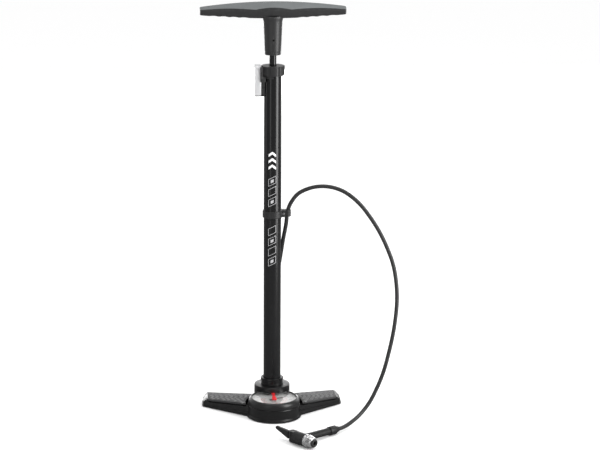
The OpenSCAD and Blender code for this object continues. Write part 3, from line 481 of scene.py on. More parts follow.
def printed(name, colour, roughness, uneven):
    """Printed or painted colour with a faint unevenness."""
    material, tree, shader = material_with_nodes(name)
    texture = group_node(tree, grain_group, Scale=1500, Patch_Scale=70)
    tint = mix_colour(tree, texture.outputs["Patches"], tuple(c * (1 - uneven) for c in colour),
                      colour)
    tree.links.new(tint, shader.inputs["Base Color"])
    rough = add(tree, "ShaderNodeMapRange", To_Min=roughness * 0.85, To_Max=roughness * 1.15)
    connect(tree, (texture, "Height", rough, "Value"), (rough, "Result", shader, "Roughness"))
    return material

finishes["dial"] = printed("dial", (0.52, 0.52, 0.51), 0.45, 0.06)
dial_ink = printed("dial_ink", (0.03, 0.03, 0.035), 0.5, 0.2)
silver_ink = printed("silver_ink", (0.45, 0.45, 0.46), 0.35, 0.15)
white_ink = printed("white_ink", (0.82, 0.82, 0.82), 0.4, 0.08)
for name, node in nodes.items():
    node.data.materials.clear()
    node.data.materials.append(finishes[slot_of[name]])
print("finishes:", len(finishes), "for", len(nodes), "nodes")

# %% [markdown]
# ## From CAD solids to finished pieces
# A CAD node is exact but raw: loose triangles with knife-sharp edges. Real mouldings have a small
# radius on every edge, and that radius is what catches the light. So each visible node is
# copied, its triangles are welded and merged into clean faces, and a bevel rounds its edges.
# The copy then stands for the node, rides on the same body and takes the same finish.

# %% Helpers for finished pieces
def new_piece(name, mesh):
    """An object of that name and mesh, in the scene."""
    made = bpy.data.objects.new(name, mesh)
    scene.collection.objects.link(made)
    return made

def solid_mesh(made, name):
    """The object's mesh with its modifiers applied; the object itself is thrown away."""
    bpy.context.view_layer.update()
    mesh = bpy.data.meshes.new_from_object(made.evaluated_get(bpy.context.evaluated_depsgraph_get()))
    mesh.name = name
    bpy.data.objects.remove(made)
    return mesh

def made_mesh(bm, name, outward=True):
    """The mesh of a bmesh, with its faces turned outward if asked; the bmesh is freed."""
    if outward:
        bmesh.ops.recalc_face_normals(bm, faces=bm.faces)
    mesh = bpy.data.meshes.new(name)
    bm.to_mesh(mesh)
    bm.free()
    return mesh

def smooth(mesh, angle=38):
    """Smooth shading, with edges sharper than angle kept crisp."""
    mesh.shade_smooth()
    mesh.set_sharp_from_angle(angle=math.radians(angle))
    return mesh

def stands_for(piece, *names, finish=None):
    """The piece stands in for these CAD nodes, which are hidden, and takes the first one's body and the
    finish of its slot.
    """
    first = names[0]
    piece.data.materials.clear()
    piece.data.materials.append(finish or finishes[slot_of[first]])
    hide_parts(*names)
    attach(piece, nodes[first]["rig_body"])
    return piece

def welded(name):
    """A copy of a CAD node's mesh with its triangles welded and flat regions merged."""
    bm = bmesh.new()
    bm.from_mesh(nodes[name].data)
    bmesh.ops.remove_doubles(bm, verts=bm.verts, dist=2e-6)
    bmesh.ops.dissolve_limit(bm, angle_limit=math.radians(0.5), verts=bm.verts, edges=bm.edges)
    return made_mesh(bm, name, outward=False)

def refined(name, radius, segments=3, angle=30, finish=None):
    """The finished piece for a CAD node: welded, its edges rounded by radius millimetres."""
    rough_piece = new_piece(name + "_rough", welded(name))
    if radius:
        rounding = rough_piece.modifiers.new("rounding", "BEVEL")
        rounding.width = radius * MM
        rounding.segments = segments
        rounding.limit_method = "ANGLE"
        rounding.angle_limit = math.radians(angle)
        rounding.miter_outer = "MITER_ARC"
        even = rough_piece.modifiers.new("even", "WEIGHTED_NORMAL")
        even.keep_sharp = True
    piece = new_piece("pump_" + name, smooth(solid_mesh(rough_piece, name)))
    return stands_for(piece, name, finish=finish)

# %% [markdown]
# ## Base, socket, gauge ring and small moulded parts
# These pieces keep their CAD shape. The rounding differs: a thick moulding has a generous radius,
# while a thin washer or a gear only needs its burr taken off.

# %% Pieces that keep their CAD shape
ROUNDING = {
    "base_body": 0.6, "barrel_socket": 0.7, "barrel_lock_ring": 0.35, "barrel_cap": 0.5,
    "gauge_bezel": 0.35, "pressure_marker": 0.25, "gauge_needle": 0.08, "rubber_feet": 0.5,
    "adapter_bracket": 0.35, "adapter_case": 0.5, "case_lid": 0.5, "hose_clip": 0.5,
    "head_body": 0.5, "head_collar": 0.5, "head_stem": 0.25, "head_lever": 0.8,
    "valve_grommet": 0.3, "lever_pin": 0.2, "hose_ferrule": 0.3, "ball_needle": 0.2,
    "taper_nozzle": 0.3, "barrel": 0.1, "piston_rod": 0.1, "handle_pin": 0.2,
}
# The handle pin takes the near-black steel, which paints the shade of its recessed hole.
refined_pieces = {name: refined(name, radius, finish=shaded_pin_steel if name == "handle_pin" else None)
                  for name, radius in ROUNDING.items()}
print("refined:", {n: len(p.data.polygons) for n, p in refined_pieces.items()})

# %% [markdown]
# ## Handle
# The handle is a hard moulding with a soft grey top let into it. Its plan is a long lens: deep in
# the middle, narrow at the ends, with a crease along its front. A loft is the clear way to make
# such a body: one cross-section is worked out at each station along the bar, and the stations
# are joined by faces. The same formulas give the moulding, its wavy ledge and the soft top.

# %% Handle sizes from the frame
handle_low, handle_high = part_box("handle_body")
half_length = handle_high.x
handle_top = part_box("handle_top_inlay")[1].z
HANDLE_HEIGHT = 0.027
HANDLE_DEPTH = 0.036
END_DEPTH = 0.6 * HANDLE_DEPTH
INLAY_DEPTH = 3.2 * MM
SCALLOP_HALF = 30.5 * MM
handle_under = handle_top - HANDLE_HEIGHT
crease_z = handle_under + 0.49 * HANDLE_HEIGHT
neck_low = handle_low.z

def depth_at(x):
    """Half of the bar's depth at x."""
    return (HANDLE_DEPTH - (HANDLE_DEPTH - END_DEPTH) * abs(x) / half_length) / 2

def top_at(x):
    """Height of the bar's top at x."""
    return handle_top - 0.32 * HANDLE_HEIGHT * (x / half_length) ** 2

def finger_grip(x):
    """How far the finger hollows reach up into the underside at x."""
    across = (abs(x) - 0.040) / 0.068
    if not 0 < across < 1:
        return 0.0
    return 1.1 * MM * abs(math.sin(4 * math.pi * across)) * math.sin(math.pi * across) ** 0.3

def under_at(x):
    """Height of the bar's underside at x, with the finger hollows."""
    return handle_under + 0.2 * HANDLE_HEIGHT * (x / half_length) ** 2 + finger_grip(x)

def ledge_share(x):
    """Where the soft top's wavy edge lies between the crease, 0, and the shoulder, 1."""
    a = abs(x)
    if a < SCALLOP_HALF:
        phase = (a + SCALLOP_HALF) / (2 * SCALLOP_HALF)
    else:
        phase = (a - SCALLOP_HALF) / (1.2 * half_length - SCALLOP_HALF)
    return 0.33 + 0.5 * math.sin(math.pi * phase)

# %% Handle cross-sections
def upper_points(x, inset):
    """The front of the upper section at x as (y, z): crease, shoulder, crown and middle."""
    d = depth_at(x) - inset
    h = top_at(x) - inset - crease_z
    return [(d, 0.0), (0.9 * d, 0.5 * h), (0.68 * d, 0.82 * h), (0.35 * d, 0.97 * h), (0.0, h * 0.985)]

def ledge_point(x, inset, lift=0.0):
    """The soft top's edge at x, on a surface inset below the bar's own."""
    (y0, z0), (y1, z1) = upper_points(x, inset)[:2]
    share = ledge_share(x) + lift
    return Vector((y0 + share * (y1 - y0), z0 + share * (z1 - z0), 0))

def crown_points(x, inset):
    """Points on the smooth crown from the shoulder to the middle."""
    line = smooth_points([(y, z, 0) for y, z in upper_points(x, inset)], 4)
    return line[4:]

def half_to_ring(half, x, squeeze):
    """Both halves of a section, shrunk towards its middle by squeeze, as points in the frame."""
    both = half + [Vector((-p.x, p.y, 0)) for p in reversed(half) if abs(p.x) > 1e-7]
    return [Vector((x, p.x * squeeze, crease_z + p.y * squeeze)) for p in both]

def body_section(x, squeeze):
    """The moulding's cross-section at x, with the step for the soft top."""
    d = depth_at(x)
    low = under_at(x) - crease_z
    lower = smooth_points([(0.0, low, 0), (0.5 * d, low, 0), (0.86 * d, 0.62 * low, 0), (d, 0.0, 0)], 5)
    return half_to_ring(lower + [ledge_point(x, 0), ledge_point(x, INLAY_DEPTH)]
                        + crown_points(x, INLAY_DEPTH), x, squeeze)

def inlay_section(x, squeeze):
    """The soft top's cross-section at x."""
    lift = 0.02
    t = INLAY_DEPTH - 0.08 * MM
    outer = half_to_ring([ledge_point(x, 0, lift)] + crown_points(x, 0), x, squeeze)
    inner = half_to_ring([ledge_point(x, t, lift)] + crown_points(x, t), x, squeeze)
    return outer + inner[::-1]

# %% Loft the handle
def loft(name, rings):
    """A closed mesh through rings that hold the same number of points."""
    bm = bmesh.new()
    rows = [[bm.verts.new(p) for p in ring] for ring in rings]
    count = len(rows[0])
    for a, b in zip(rows, rows[1:]):
        for j in range(count):
            k = (j + 1) % count
            bm.faces.new((a[j], a[k], b[k], b[j]))
    bm.faces.new(rows[0][::-1])
    bm.faces.new(rows[-1])
    return made_mesh(bm, name)

END_ROUND = 2.6 * MM
STATIONS = 96
ends = [(1 - math.cos(math.pi / 2 * k / 5), math.sin(math.pi / 2 * k / 5)) for k in range(1, 5)]
places = [(-half_length + END_ROUND * a, 1 - 0.16 * (1 - b)) for a, b in [(0, 0)] + ends]
inside = half_length - END_ROUND
places += [(inside * (2 * k / STATIONS - 1), 1.0) for k in range(STATIONS + 1)]
places += [(-x, squeeze) for x, squeeze in reversed(places[:5])]
bar = loft("handle_bar", [body_section(x, s) for x, s in places])
soft_top = loft("handle_top", [inlay_section(x, s) for x, s in places])
print("handle:", len(bar.polygons), "faces, soft top:", len(soft_top.polygons))

# %% [markdown]
# The neck is round, so it is turned: an outline is drawn on one side of the axis and spun. Its
# foot has three shallow rings, and it flares out where it runs into the bar. The cross pin's
# hole is cut with a Boolean, because a real drilled hole has a crisp, round mouth.

# %% Neck and pin hole
def turned(name, outline, around=96):
    """A closed solid of revolution about the z axis from (radius, height) points in millimetres."""
    bm = bmesh.new()
    rows = []
    for radius, height in outline:
        if radius < 1e-6:
            rows.append([bm.verts.new((0, 0, height * MM))])
        else:
            rows.append([bm.verts.new((radius * MM * math.cos(2 * math.pi * k / around),
                                       radius * MM * math.sin(2 * math.pi * k / around), height * MM))
                         for k in range(around)])
    for a, b in zip(rows, rows[1:] + ([] if len(rows[0]) == 1 else [rows[0]])):
        for j in range(around):
            k = (j + 1) % around
            corners = [a[j % len(a)], a[k % len(a)], b[k % len(b)], b[j % len(b)]]
            corners = [c for i, c in enumerate(corners) if c not in corners[:i]]
            if len(corners) > 2:
                bm.faces.new(corners)
    return made_mesh(bm, name)

def cut(made, cutter_mesh):
    """Takes a cutter's shape out of an object."""
    cutter = new_piece("cutter", cutter_mesh)
    bite = made.modifiers.new("bite", "BOOLEAN")
    bite.operation = "DIFFERENCE"
    bite.object = cutter
    bite.solver = "EXACT"
    return cutter

ROD_HOLE = 6.1
neck_outline = [(ROD_HOLE, 0), (12.6, 0), (13.4, 0.35), (13.7, 1.2), (13.6, 2.2), (13.25, 2.7),
                (13.3, 3.0), (13.75, 3.4), (13.85, 4.4), (13.8, 5.3), (13.45, 5.7), (13.5, 6.0),
                (13.9, 6.4), (14.0, 7.6)]
neck_outline += [(14 + 2.1 * t / 49, 8 + t) for t in range(4, 50, 5)]
neck_outline += [(16.6, 59), (17.1, 61), (17.6, 62.6), (17.6, 66), (ROD_HOLE, 66)]
neck = new_piece("neck", turned("neck", neck_outline))
neck.data.transform(Matrix.Translation((0, 0, neck_low)))
PIN_Z = neck_low + 0.026
hole = turned("pin_hole", [(0, -40), (1.85, -40), (1.85, 40), (0, 40)], 32)
hole.transform(Matrix.Translation((0, 0, PIN_Z)) @ Matrix.Rotation(math.pi / 2, 4, "X"))
drill = cut(neck, hole)
neck_mesh = solid_mesh(neck, "neck")
bpy.data.objects.remove(drill)

def joined(name, *meshes):
    """One mesh that holds all of these."""
    bm = bmesh.new()
    for mesh in meshes:
        bm.from_mesh(mesh)
    return made_mesh(bm, name, outward=False)

stands_for(new_piece("pump_handle", smooth(joined("handle", bar, neck_mesh), 30)), "handle_body")
stands_for(new_piece("pump_handle_top", smooth(soft_top, 45)), "handle_top_inlay")

# %% [markdown]
# ## Repeats by Geometry Nodes
# Ribs on a knurled cap, tick marks on a dial and studs on a tread are one small shape many
# times over. Geometry Nodes place them by a rule, so that their number and spacing are inputs
# and not a long list. The first tree sets copies of one object round an arc.

# %% Geometry Nodes: copies round an arc
def new_tree(name, inputs):
    """A Geometry Nodes tree with named inputs, its input node and its output node."""
    tree = bpy.data.node_groups.new(name, "GeometryNodeTree")
    tree.is_modifier = True
    tree.interface.new_socket("Geometry", in_out="INPUT", socket_type="NodeSocketGeometry")
    for label, kind in inputs:
        tree.interface.new_socket(label, in_out="INPUT", socket_type="NodeSocket" + kind)
    tree.interface.new_socket("Geometry", in_out="OUTPUT", socket_type="NodeSocketGeometry")
    return tree, add(tree, "NodeGroupInput"), add(tree, "NodeGroupOutput")

arc_tree, given, result = new_tree("copies_round_an_arc", [
    ("Piece", "Object"), ("Count", "Int"), ("Radius", "Float"), ("Start", "Float"),
    ("Step", "Float"), ("Finish", "Material")])
line = add(arc_tree, "GeometryNodeMeshLine")
index = add(arc_tree, "GeometryNodeInputIndex")
turn = add(arc_tree, "ShaderNodeMath", operation="MULTIPLY_ADD")
cosine = add(arc_tree, "ShaderNodeMath", operation="COSINE")
sine = add(arc_tree, "ShaderNodeMath", operation="SINE")
x_part = add(arc_tree, "ShaderNodeMath", operation="MULTIPLY")
y_part = add(arc_tree, "ShaderNodeMath", operation="MULTIPLY")
spot = add(arc_tree, "ShaderNodeCombineXYZ")
facing = add(arc_tree, "ShaderNodeCombineXYZ")
move = add(arc_tree, "GeometryNodeSetPosition")
piece = add(arc_tree, "GeometryNodeObjectInfo")
copies = add(arc_tree, "GeometryNodeInstanceOnPoints")
real = add(arc_tree, "GeometryNodeRealizeInstances")
paint = add(arc_tree, "GeometryNodeSetMaterial")
connect(arc_tree, (given, "Count", line, "Count"), (index, "Index", turn, 0),
        (given, "Step", turn, 1), (given, "Start", turn, 2), (turn, "Value", cosine, 0),
        (turn, "Value", sine, 0), (cosine, "Value", x_part, 0), (given, "Radius", x_part, 1),
        (sine, "Value", y_part, 0), (given, "Radius", y_part, 1), (x_part, "Value", spot, "X"),
        (y_part, "Value", spot, "Y"), (turn, "Value", facing, "Z"),
        (line, "Mesh", move, "Geometry"), (spot, "Vector", move, "Position"),
        (given, "Piece", piece, "Object"), (move, "Geometry", copies, "Points"),
        (piece, "Geometry", copies, "Instance"), (facing, "Vector", copies, "Rotation"),
        (copies, "Instances", real, "Geometry"), (real, "Geometry", paint, "Geometry"),
        (given, "Finish", paint, "Material"), (paint, "Geometry", result, "Geometry"))

def grown_by(tree, name, values):
    """The mesh that a tree makes from these named inputs."""
    carrier = new_piece(name, bpy.data.meshes.new(name))
    modifier = carrier.modifiers.new("maker", "NODES")
    modifier.node_group = tree
    for item in tree.interface.items_tree:
        if item.item_type == "SOCKET" and item.in_out == "INPUT" and item.name in values:
            modifier[item.identifier] = values[item.name]
    return solid_mesh(carrier, name)

def copies_on_arc(name, piece_mesh, count, radius, start, step, finish):
    """Copies of a small mesh, which points along +x, round an arc about the z axis."""
    seed = new_piece("seed", piece_mesh)
    made = grown_by(arc_tree, name, {"Piece": seed, "Count": count, "Radius": radius,
                                     "Start": start, "Step": step, "Finish": finish})
    bpy.data.objects.remove(seed)
    return made

# %% [markdown]
# ## Chrome cap
# The cap that holds the rubber grommet is turned brass with bright plating and a ring of fine
# ribs for the fingers. The body is a turned outline, and the ribs are copies round its waist.

# %% Place of the pump head
HEAD_TURN = math.radians(-50)
port = next(m for m in frame["record"]["mounts"] if m["name"] == "valve_port")
mouth = Vector(port["pos_m"])
HEAD_TO_MOUTH = 27 * MM
head_axis = Vector((math.cos(HEAD_TURN), math.sin(HEAD_TURN), 0))
head_centre = mouth - head_axis * HEAD_TO_MOUTH
along_head = (Matrix.Translation(head_centre) @ Matrix.Rotation(HEAD_TURN, 4, "Z")
              @ Matrix.Rotation(math.pi / 2, 4, "Y"))
print("head at", [round(c, 4) for c in head_centre])

# %% Chrome cap with its ribs
cap_outline = [(8.6, 12.9), (10.2, 12.9), (10.7, 13.2), (10.9, 13.8), (10.75, 14.4), (10.4, 14.8),
               (10.45, 15.2), (10.75, 15.6), (10.8, 20.5), (10.6, 21.3), (10.3, 21.8), (10.35, 22.4),
               (10.2, 24), (9.85, 26), (9.3, 28), (8.7, 29.3), (8.0, 29.9), (7.3, 30), (7.15, 29.6),
               (7.15, 18.4), (8.6, 18.4)]
cap_body = turned("cap_body", cap_outline)
rib = turned("rib", [(0, 15.8), (0.36, 16.3), (0.42, 17), (0.42, 19.6), (0.36, 20.3), (0, 20.8)], 8)
RIBS = 30
ribs = copies_on_arc("cap_ribs", rib, RIBS, 10.72 * MM, 0.0, 2 * math.pi / RIBS, finishes["chrome"])
cap_mesh = joined("valve_cap", cap_body, ribs)
cap_mesh.transform(along_head)
chrome_cap = stands_for(new_piece("pump_valve_cap", smooth(cap_mesh, 40)), "valve_cap")
print("cap ribs:", RIBS)

# %% [markdown]
# ## Tread pads
# The pads carry rows of small raised diamonds that grip a shoe. A Geometry Nodes tree lays a grid
# over each pad, shifts every other row by half a step, drops the points onto the pad with a ray
# cast and throws away those that miss. The target is the pad's top drawn in by a margin, so the
# pattern stops short of the rim. The stud is a low, four-sided pyramid with its tip cut off.

# %% Geometry Nodes: studs on a surface
stud_tree, given, result = new_tree("studs_on_a_surface", [
    ("Surface", "Object"), ("Stud", "Object"), ("Columns", "Int"), ("Rows", "Int"),
    ("Step Along", "Float"), ("Step Across", "Float"), ("Middle", "Vector"), ("Turn", "Vector"),
    ("Lean", "Vector"), ("Finish", "Material")])
length = add(stud_tree, "ShaderNodeMath", operation="MULTIPLY")
width = add(stud_tree, "ShaderNodeMath", operation="MULTIPLY")
grid = add(stud_tree, "GeometryNodeMeshGrid")
place = add(stud_tree, "GeometryNodeInputPosition")
split = add(stud_tree, "ShaderNodeSeparateXYZ")
row = add(stud_tree, "ShaderNodeMath", operation="DIVIDE")
whole = add(stud_tree, "ShaderNodeMath", operation="ROUND")
parity = add(stud_tree, "ShaderNodeMath", operation="PINGPONG")
half_step = add(stud_tree, "ShaderNodeMath", operation="MULTIPLY")
shift = add(stud_tree, "ShaderNodeMath", operation="MULTIPLY")
offset = add(stud_tree, "ShaderNodeCombineXYZ")
stagger = add(stud_tree, "GeometryNodeSetPosition")
lay = add(stud_tree, "GeometryNodeTransform")
surface = add(stud_tree, "GeometryNodeObjectInfo")
drop = add(stud_tree, "GeometryNodeRaycast")
missed = add(stud_tree, "FunctionNodeBooleanMath", operation="NOT")
keep = add(stud_tree, "GeometryNodeDeleteGeometry")
land = add(stud_tree, "GeometryNodeSetPosition")
stud = add(stud_tree, "GeometryNodeObjectInfo")
copies = add(stud_tree, "GeometryNodeInstanceOnPoints")
real = add(stud_tree, "GeometryNodeRealizeInstances")
paint = add(stud_tree, "GeometryNodeSetMaterial")
parity.inputs[1].default_value = 1.0
half_step.inputs[1].default_value = 0.5
drop.inputs["Ray Direction"].default_value = (0, 0, -1)
connect(stud_tree, (given, "Columns", length, 0), (given, "Step Along", length, 1),
        (given, "Rows", width, 0), (given, "Step Across", width, 1),
        (length, "Value", grid, "Size X"), (width, "Value", grid, "Size Y"),
        (given, "Columns", grid, "Vertices X"), (given, "Rows", grid, "Vertices Y"),
        (place, "Position", split, "Vector"), (split, "Y", row, 0), (given, "Step Across", row, 1),
        (row, "Value", whole, 0), (whole, "Value", parity, 0), (given, "Step Along", half_step, 0),
        (parity, "Value", shift, 0), (half_step, "Value", shift, 1), (shift, "Value", offset, "X"),
        (grid, "Mesh", stagger, "Geometry"), (offset, "Vector", stagger, "Offset"),
        (stagger, "Geometry", lay, "Geometry"), (given, "Middle", lay, "Translation"),
        (given, "Turn", lay, "Rotation"), (given, "Surface", surface, "Object"),
        (surface, "Geometry", drop, "Target Geometry"), (drop, "Is Hit", missed, 0),
        (lay, "Geometry", keep, "Geometry"), (missed, "Boolean", keep, "Selection"),
        (keep, "Geometry", land, "Geometry"), (drop, "Hit Position", land, "Position"),
        (given, "Stud", stud, "Object"), (land, "Geometry", copies, "Points"),
        (stud, "Geometry", copies, "Instance"), (given, "Lean", copies, "Rotation"),
        (copies, "Instances", real, "Geometry"), (real, "Geometry", paint, "Geometry"),
        (given, "Finish", paint, "Material"), (paint, "Geometry", result, "Geometry"))

# %% Pads and their studs
def plate(name, outlines, low, high):
    """Closed plates from outlines of (x, y) in millimetres, with heights in millimetres too."""
    bm = bmesh.new()
    for outline in outlines:
        lower = [bm.verts.new((x * MM, y * MM, low * MM)) for x, y in outline]
        upper = [bm.verts.new((x * MM, y * MM, high * MM)) for x, y in outline]
        bm.faces.new(lower[::-1])
        bm.faces.new(upper)
        for j in range(len(outline)):
            k = (j + 1) % len(outline)
            bm.faces.new((lower[j], lower[k], upper[k], upper[j]))
    return made_mesh(bm, name)

def pad_top(name, margin):
    """The upward face of a pad, drawn in by margin millimetres."""
    bm = bmesh.new()
    bm.from_mesh(welded(name))
    bmesh.ops.delete(bm, geom=[f for f in bm.faces if f.normal.z < 0.8], context="FACES")
    rim = bmesh.ops.inset_region(bm, faces=bm.faces[:], thickness=margin * MM, use_even_offset=True,
                                 use_boundary=True)
    bmesh.ops.delete(bm, geom=rim["faces"], context="FACES")
    return made_mesh(bm, name + "_top", outward=False)

STUD_LONG, STUD_WIDE, STUD_TOP, STUD_HEIGHT, STUD_ROOT = 3.0, 4.4, 0.35, 0.65, 0.25
STUD_MARGIN = 4.6
STUD_GRID = {"Columns": 16, "Rows": 24, "Step Along": 8.2 * MM, "Step Across": 5.2 * MM}
stud_rings = [(1.0, -STUD_ROOT), (1.0, 0.0), (STUD_TOP, STUD_HEIGHT)]
stud_mesh = loft("stud", [[Vector((x * STUD_LONG * k, y * STUD_WIDE * k, z)) * MM
                           for x, y in ((1, 0), (0, 1), (-1, 0), (0, -1))] for k, z in stud_rings])
WING_TURN = math.radians(21)
for side, name in ((-1, "left_tread_pad"), (1, "right_tread_pad")):
    low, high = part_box(name)
    top_face = new_piece("pad_top", pad_top(name, STUD_MARGIN))
    seed = new_piece("seed", stud_mesh)
    middle = Vector(((low.x + high.x) / 2, (low.y + high.y) / 2, high.z + 0.02))
    up = top_face.data.polygons[0].normal
    along = Vector((math.cos(side * WING_TURN), math.sin(side * WING_TURN), 0))
    along = (along - up * along.dot(up)).normalized()
    lean = Matrix((along, up.cross(along), up)).transposed().to_euler()
    studs = grown_by(stud_tree, name + "_studs", {
        **STUD_GRID, "Surface": top_face, "Stud": seed, "Middle": middle[:],
        "Turn": (0, 0, side * WING_TURN), "Lean": lean[:], "Finish": finishes["tread"]})
    bpy.data.objects.remove(top_face)
    bpy.data.objects.remove(seed)
    rough_pad = new_piece("rough_pad", welded(name))
    rounding = rough_pad.modifiers.new("rounding", "BEVEL")
    rounding.width = 0.8 * MM
    rounding.segments = 4
    rounding.angle_limit = math.radians(30)
    pad = joined(name, smooth(solid_mesh(rough_pad, name)), studs)
    stands_for(new_piece("pump_" + name, pad), name)
    # The flat pad takes the darker copy of the tread rubber, painted shade between the lighter studs.
    pad.materials.append(tread_shaded_floor)
    flat = len(pad.polygons) - len(studs.polygons)
    pad.polygons.foreach_set("material_index", [1] * flat + [0] * len(studs.polygons))
    print(name, "studs:", len(studs.polygons) // len(stud_mesh.polygons))

# %% [markdown]
# ## Gauge
# The dial is a printed sheet: an arc, long and short ticks at an even step, and numbers. Ticks
# are an array round an arc again, this time with a negative step, since a gauge reads clockwise.
# The numbers are text turned into a mesh, and each stands upright for a user behind the pump.

# %% Dial, scale and numbers
REST = math.radians(30)
SWEEP = math.radians(-240)
dial_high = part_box("gauge_dial")[1].z
PRINT = 0.05
TICK_RADIUS = 37 * MM
INNER_TICK_RADIUS = 22.4 * MM

def arc_band(inner, outer):
    """The outline of a band along the scale, between two radii in millimetres."""
    turns = [REST + SWEEP * k / 80 for k in range(81)]
    return [(outer * math.cos(a), outer * math.sin(a)) for a in turns] + [
        (inner * math.cos(a), inner * math.sin(a)) for a in reversed(turns)]

def tick(long, wide):
    """A printed stroke along x, long and wide in millimetres."""
    return plate("tick", [[(-long, -wide / 2), (0, -wide / 2), (0, wide / 2), (-long, wide / 2)]],
                 0, PRINT)

def numbers(name, values, radius, size):
    """The values along the scale, as one mesh."""
    meshes = []
    for k, value in enumerate(values):
        text = bpy.data.curves.new(name, "FONT")
        text.body = str(value)
        text.size = size * MM
        text.extrude = PRINT * MM / 2
        text.align_x = text.align_y = "CENTER"
        mesh = solid_mesh(new_piece("number", text), "number")
        a = REST + SWEEP * k / (len(values) - 1)
        spot = Vector((radius * math.cos(a), radius * math.sin(a), PRINT / 2)) * MM
        mesh.transform(Matrix.Translation(spot) @ Matrix.Rotation(math.pi, 4, "Z"))
        meshes.append(mesh)
    return joined(name, *meshes)

def on_dial(name, finish, *meshes):
    """Prints the meshes on the dial."""
    made = joined(name, *meshes)
    made.transform(Matrix.Translation((0, gauge_y, dial_high)))
    made.materials.clear()
    made.materials.append(finish)
    made.polygons.foreach_set("material_index", [0] * len(made.polygons))
    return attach(new_piece(name, made), nodes["gauge_dial"]["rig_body"])

def ticks(name, long, wide, count, radius):
    """Count ticks, long and wide in millimetres, from one end of the scale to the other."""
    return copies_on_arc(name, tick(long, wide), count, radius, REST, SWEEP / (count - 1), dial_ink)

outer_ticks = ticks("fine_ticks", 2.2, 0.3, 33, TICK_RADIUS)
long_ticks = ticks("long_ticks", 4.4, 0.7, 9, TICK_RADIUS)
inner_ticks = ticks("inner_ticks", 2.4, 0.5, 12, INNER_TICK_RADIUS)
on_dial("dial_scale", dial_ink, outer_ticks, long_ticks,
        plate("outer_arc", [arc_band(36.6, 37.2)], 0, PRINT),
        numbers("numbers", range(0, 161, 20), 29, 6.2))
on_dial("dial_inner_scale", finishes["marker_red"], inner_ticks,
        plate("inner_arc", [arc_band(22.2, 22.6)], 0, PRINT), numbers("small", range(12), 17.2, 4.4))
refined("gauge_dial", 0.15, segments=2)
lens_low, lens_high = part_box("gauge_lens")
low, high, rim = lens_low.z / MM, lens_high.z / MM, lens_high.x / MM
LENS_HOLE = 1.35
lens_outline = [(LENS_HOLE, low), (20, low), (rim - 0.6, low), (rim - 0.35, low), (rim, low + 0.35),
                (rim, high - 0.35), (rim - 0.35, high), (rim - 0.6, high), (20, high),
                (LENS_HOLE, high)]
lens = turned("lens", lens_outline, 128)
lens.transform(Matrix.Translation((0, gauge_y, 0)))
stands_for(new_piece("pump_gauge_lens", smooth(lens, 25)), "gauge_lens")
print("dial printed, its top at", round(dial_high, 4))

# %% [markdown]
# ## Graphic on the barrel
# The barrel is decorated with a screen print: a column of slanted cells in silver outline under
# three solid chevrons. Each cell is drawn flat, cut into thin strips and wrapped round the
# tube, so the ink follows the curve and lies a few hundredths of a millimetre proud.

# %% Wrap a drawing round the barrel
barrel_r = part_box("barrel")[1].x / MM
INK = 0.04
INK_SINK = 0.01
STRIPS_EACH_SIDE = 14

def wrapped(name, outlines, turn):
    """Outlines of (across, up) in millimetres as thin plates of ink round the barrel."""
    flat = plate(name, outlines, 0, INK)
    bm = bmesh.new()
    bm.from_mesh(flat)
    for k in range(-STRIPS_EACH_SIDE, STRIPS_EACH_SIDE + 1):
        bmesh.ops.bisect_plane(bm, geom=bm.verts[:] + bm.edges[:] + bm.faces[:],
                               plane_co=(k * MM, 0, 0), plane_no=(1, 0, 0))
    for v in bm.verts:
        a = turn + v.co.x / (barrel_r * MM)
        r = barrel_r * MM + v.co.z - INK_SINK * MM
        v.co = Vector((r * math.sin(a), -r * math.cos(a), v.co.y))
    return smooth(made_mesh(bm, name), 30)

def slanted(across, up, wide, tall, lean=0.5):
    """A parallelogram with its middle at (across, up)."""
    corners = ((-1, -1), (1, -1), (1, 1), (-1, 1))
    return [(across + x * wide / 2, up + y * tall / 2 + x * wide / 2 * lean) for x, y in corners]

def frame_strips(across, up, wide, tall, line, lean=0.5):
    """The four strokes of an outlined parallelogram, as separate plates."""
    half, high = wide / 2, tall / 2
    return [slanted(across, up + high, wide + line, line, lean),
            slanted(across, up - high, wide + line, line, lean),
            slanted(across - half, up - half * lean, line, tall - line, 0.0),
            slanted(across + half, up + half * lean, line, tall - line, 0.0)]

def chevron(up, wide, tall, line):
    """A chevron that points up, its foot at height up."""
    half = wide / 2
    return [(-half, up), (0, up + tall), (half, up), (half, up + line), (0, up + tall + line),
            (-half, up + line)]

def ink_piece(name, outlines, turn, finish):
    """A print on the barrel, on the barrel's body."""
    piece = new_piece(name, wrapped(name, outlines, turn))
    piece.data.materials.append(finish)
    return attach(piece, nodes["barrel"]["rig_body"])

PRINT_TURN = math.radians(-6)
CELL_HEIGHTS = [266, 284, 302, 320, 371, 389, 407]
cells = [cell for z in CELL_HEIGHTS for cell in frame_strips(0, z, 13, 12, 0.7)]
cells += [slanted(0, z, 5, 5) for z in CELL_HEIGHTS[::2]]
ink_piece("barrel_cells", cells, PRINT_TURN, silver_ink)
ink_piece("barrel_chevrons", [chevron(427 + 11 * k, 13, 5, 4.5) for k in range(3)], PRINT_TURN,
          white_ink)
print("barrel print:", len(cells), "strokes")

# %% [markdown]
# ## Hardware and inner parts
# Screws need a drive recess, and inner parts need their burr taken off. The screws under the base
# get theirs by a Boolean: a six-sided hole in each head.

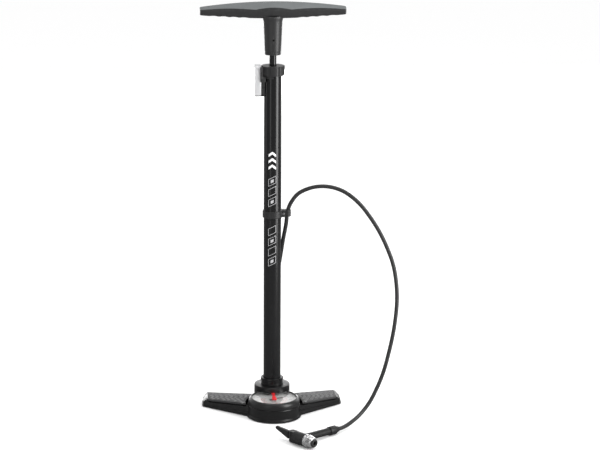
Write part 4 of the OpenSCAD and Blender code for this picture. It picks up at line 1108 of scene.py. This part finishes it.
# %% Screws with a drive recess
def driven(name, cutter_outlines, depth, spots):
    """A screw node with a recess cut into each head; a spot is the recess's floor matrix."""
    rough_screw = new_piece(name + "_rough", welded(name))
    cutter_mesh = plate("recess", cutter_outlines, 0, depth)
    tool = joined("recesses", *[placed(cutter_mesh, spot) for spot in spots])
    cutter = cut(rough_screw, tool)
    mesh = solid_mesh(rough_screw, name)
    bpy.data.objects.remove(cutter)
    return stands_for(new_piece("pump_" + name, smooth(mesh)), name)

def placed(mesh, matrix):
    """A moved copy of a mesh."""
    copy = mesh.copy()
    copy.transform(matrix)
    return copy

def loose_shells(name):
    """The box of each separate solid in a node, as (low, high) pairs."""
    bm = bmesh.new()
    bm.from_mesh(welded(name))
    left, boxes = set(bm.verts), []
    while left:
        shell, front = set(), [left.pop()]
        while front:
            v = front.pop()
            shell.add(v)
            near = {e.other_vert(v) for e in v.link_edges} & left
            left -= near
            front += near
        boxes.append((Vector(tuple(min(v.co[i] for v in shell) for i in range(3))),
                      Vector(tuple(max(v.co[i] for v in shell) for i in range(3)))))
    bm.free()
    return boxes

HEX_RADIUS = 1.7
HEX_DEPTH = 1.6
hexagon = [[(HEX_RADIUS * math.cos(math.pi * k / 3), HEX_RADIUS * math.sin(math.pi * k / 3))
            for k in range(6)]]
heads = [Matrix.Translation(((low.x + high.x) / 2, (low.y + high.y) / 2, low.z - 0.2 * MM))
         for low, high in loose_shells("base_screws")]
driven("base_screws", hexagon, HEX_DEPTH, heads)

# %% Smooth the remaining parts
SOFTENED = {
    "rod_guide_bush": 0.3, "top_bumper": 0.3, "piston_head": 0.3, "piston_seal": 0.2,
    "piston_screw": 0.1, "hose_barb": 0.1, "gauge_case": 0.15, "gauge_nipple": 0.2,
    "check_valve_seat": 0.2, "check_valve_poppet": 0.1, "valve_plug": 0.2, "barrel_gasket": 0.1,
    "head_plunger": 0.15, "sector_gear": 0.04, "needle_pinion": 0.0, "gauge_movement": 0.08,
    "clip_screw": 0.15,
}
softened = {name: refined(name, radius, segments=2) for name, radius in SOFTENED.items()}
print("softened:", len(softened))

# %% [markdown]
# The foot valve's spring is welded without rounding and gets a mesh of its own.

# %% Foot valve spring
spring = refined("check_valve_spring", 0)
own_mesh(spring)

stands_for(pump_hose, "hose")
on_the_hose = [refined_pieces[n] for n in ("head_body", "head_stem", "head_collar",
                                           "valve_grommet", "lever_pin", "head_lever")]
on_the_hose += [chrome_cap, softened["head_plunger"]]
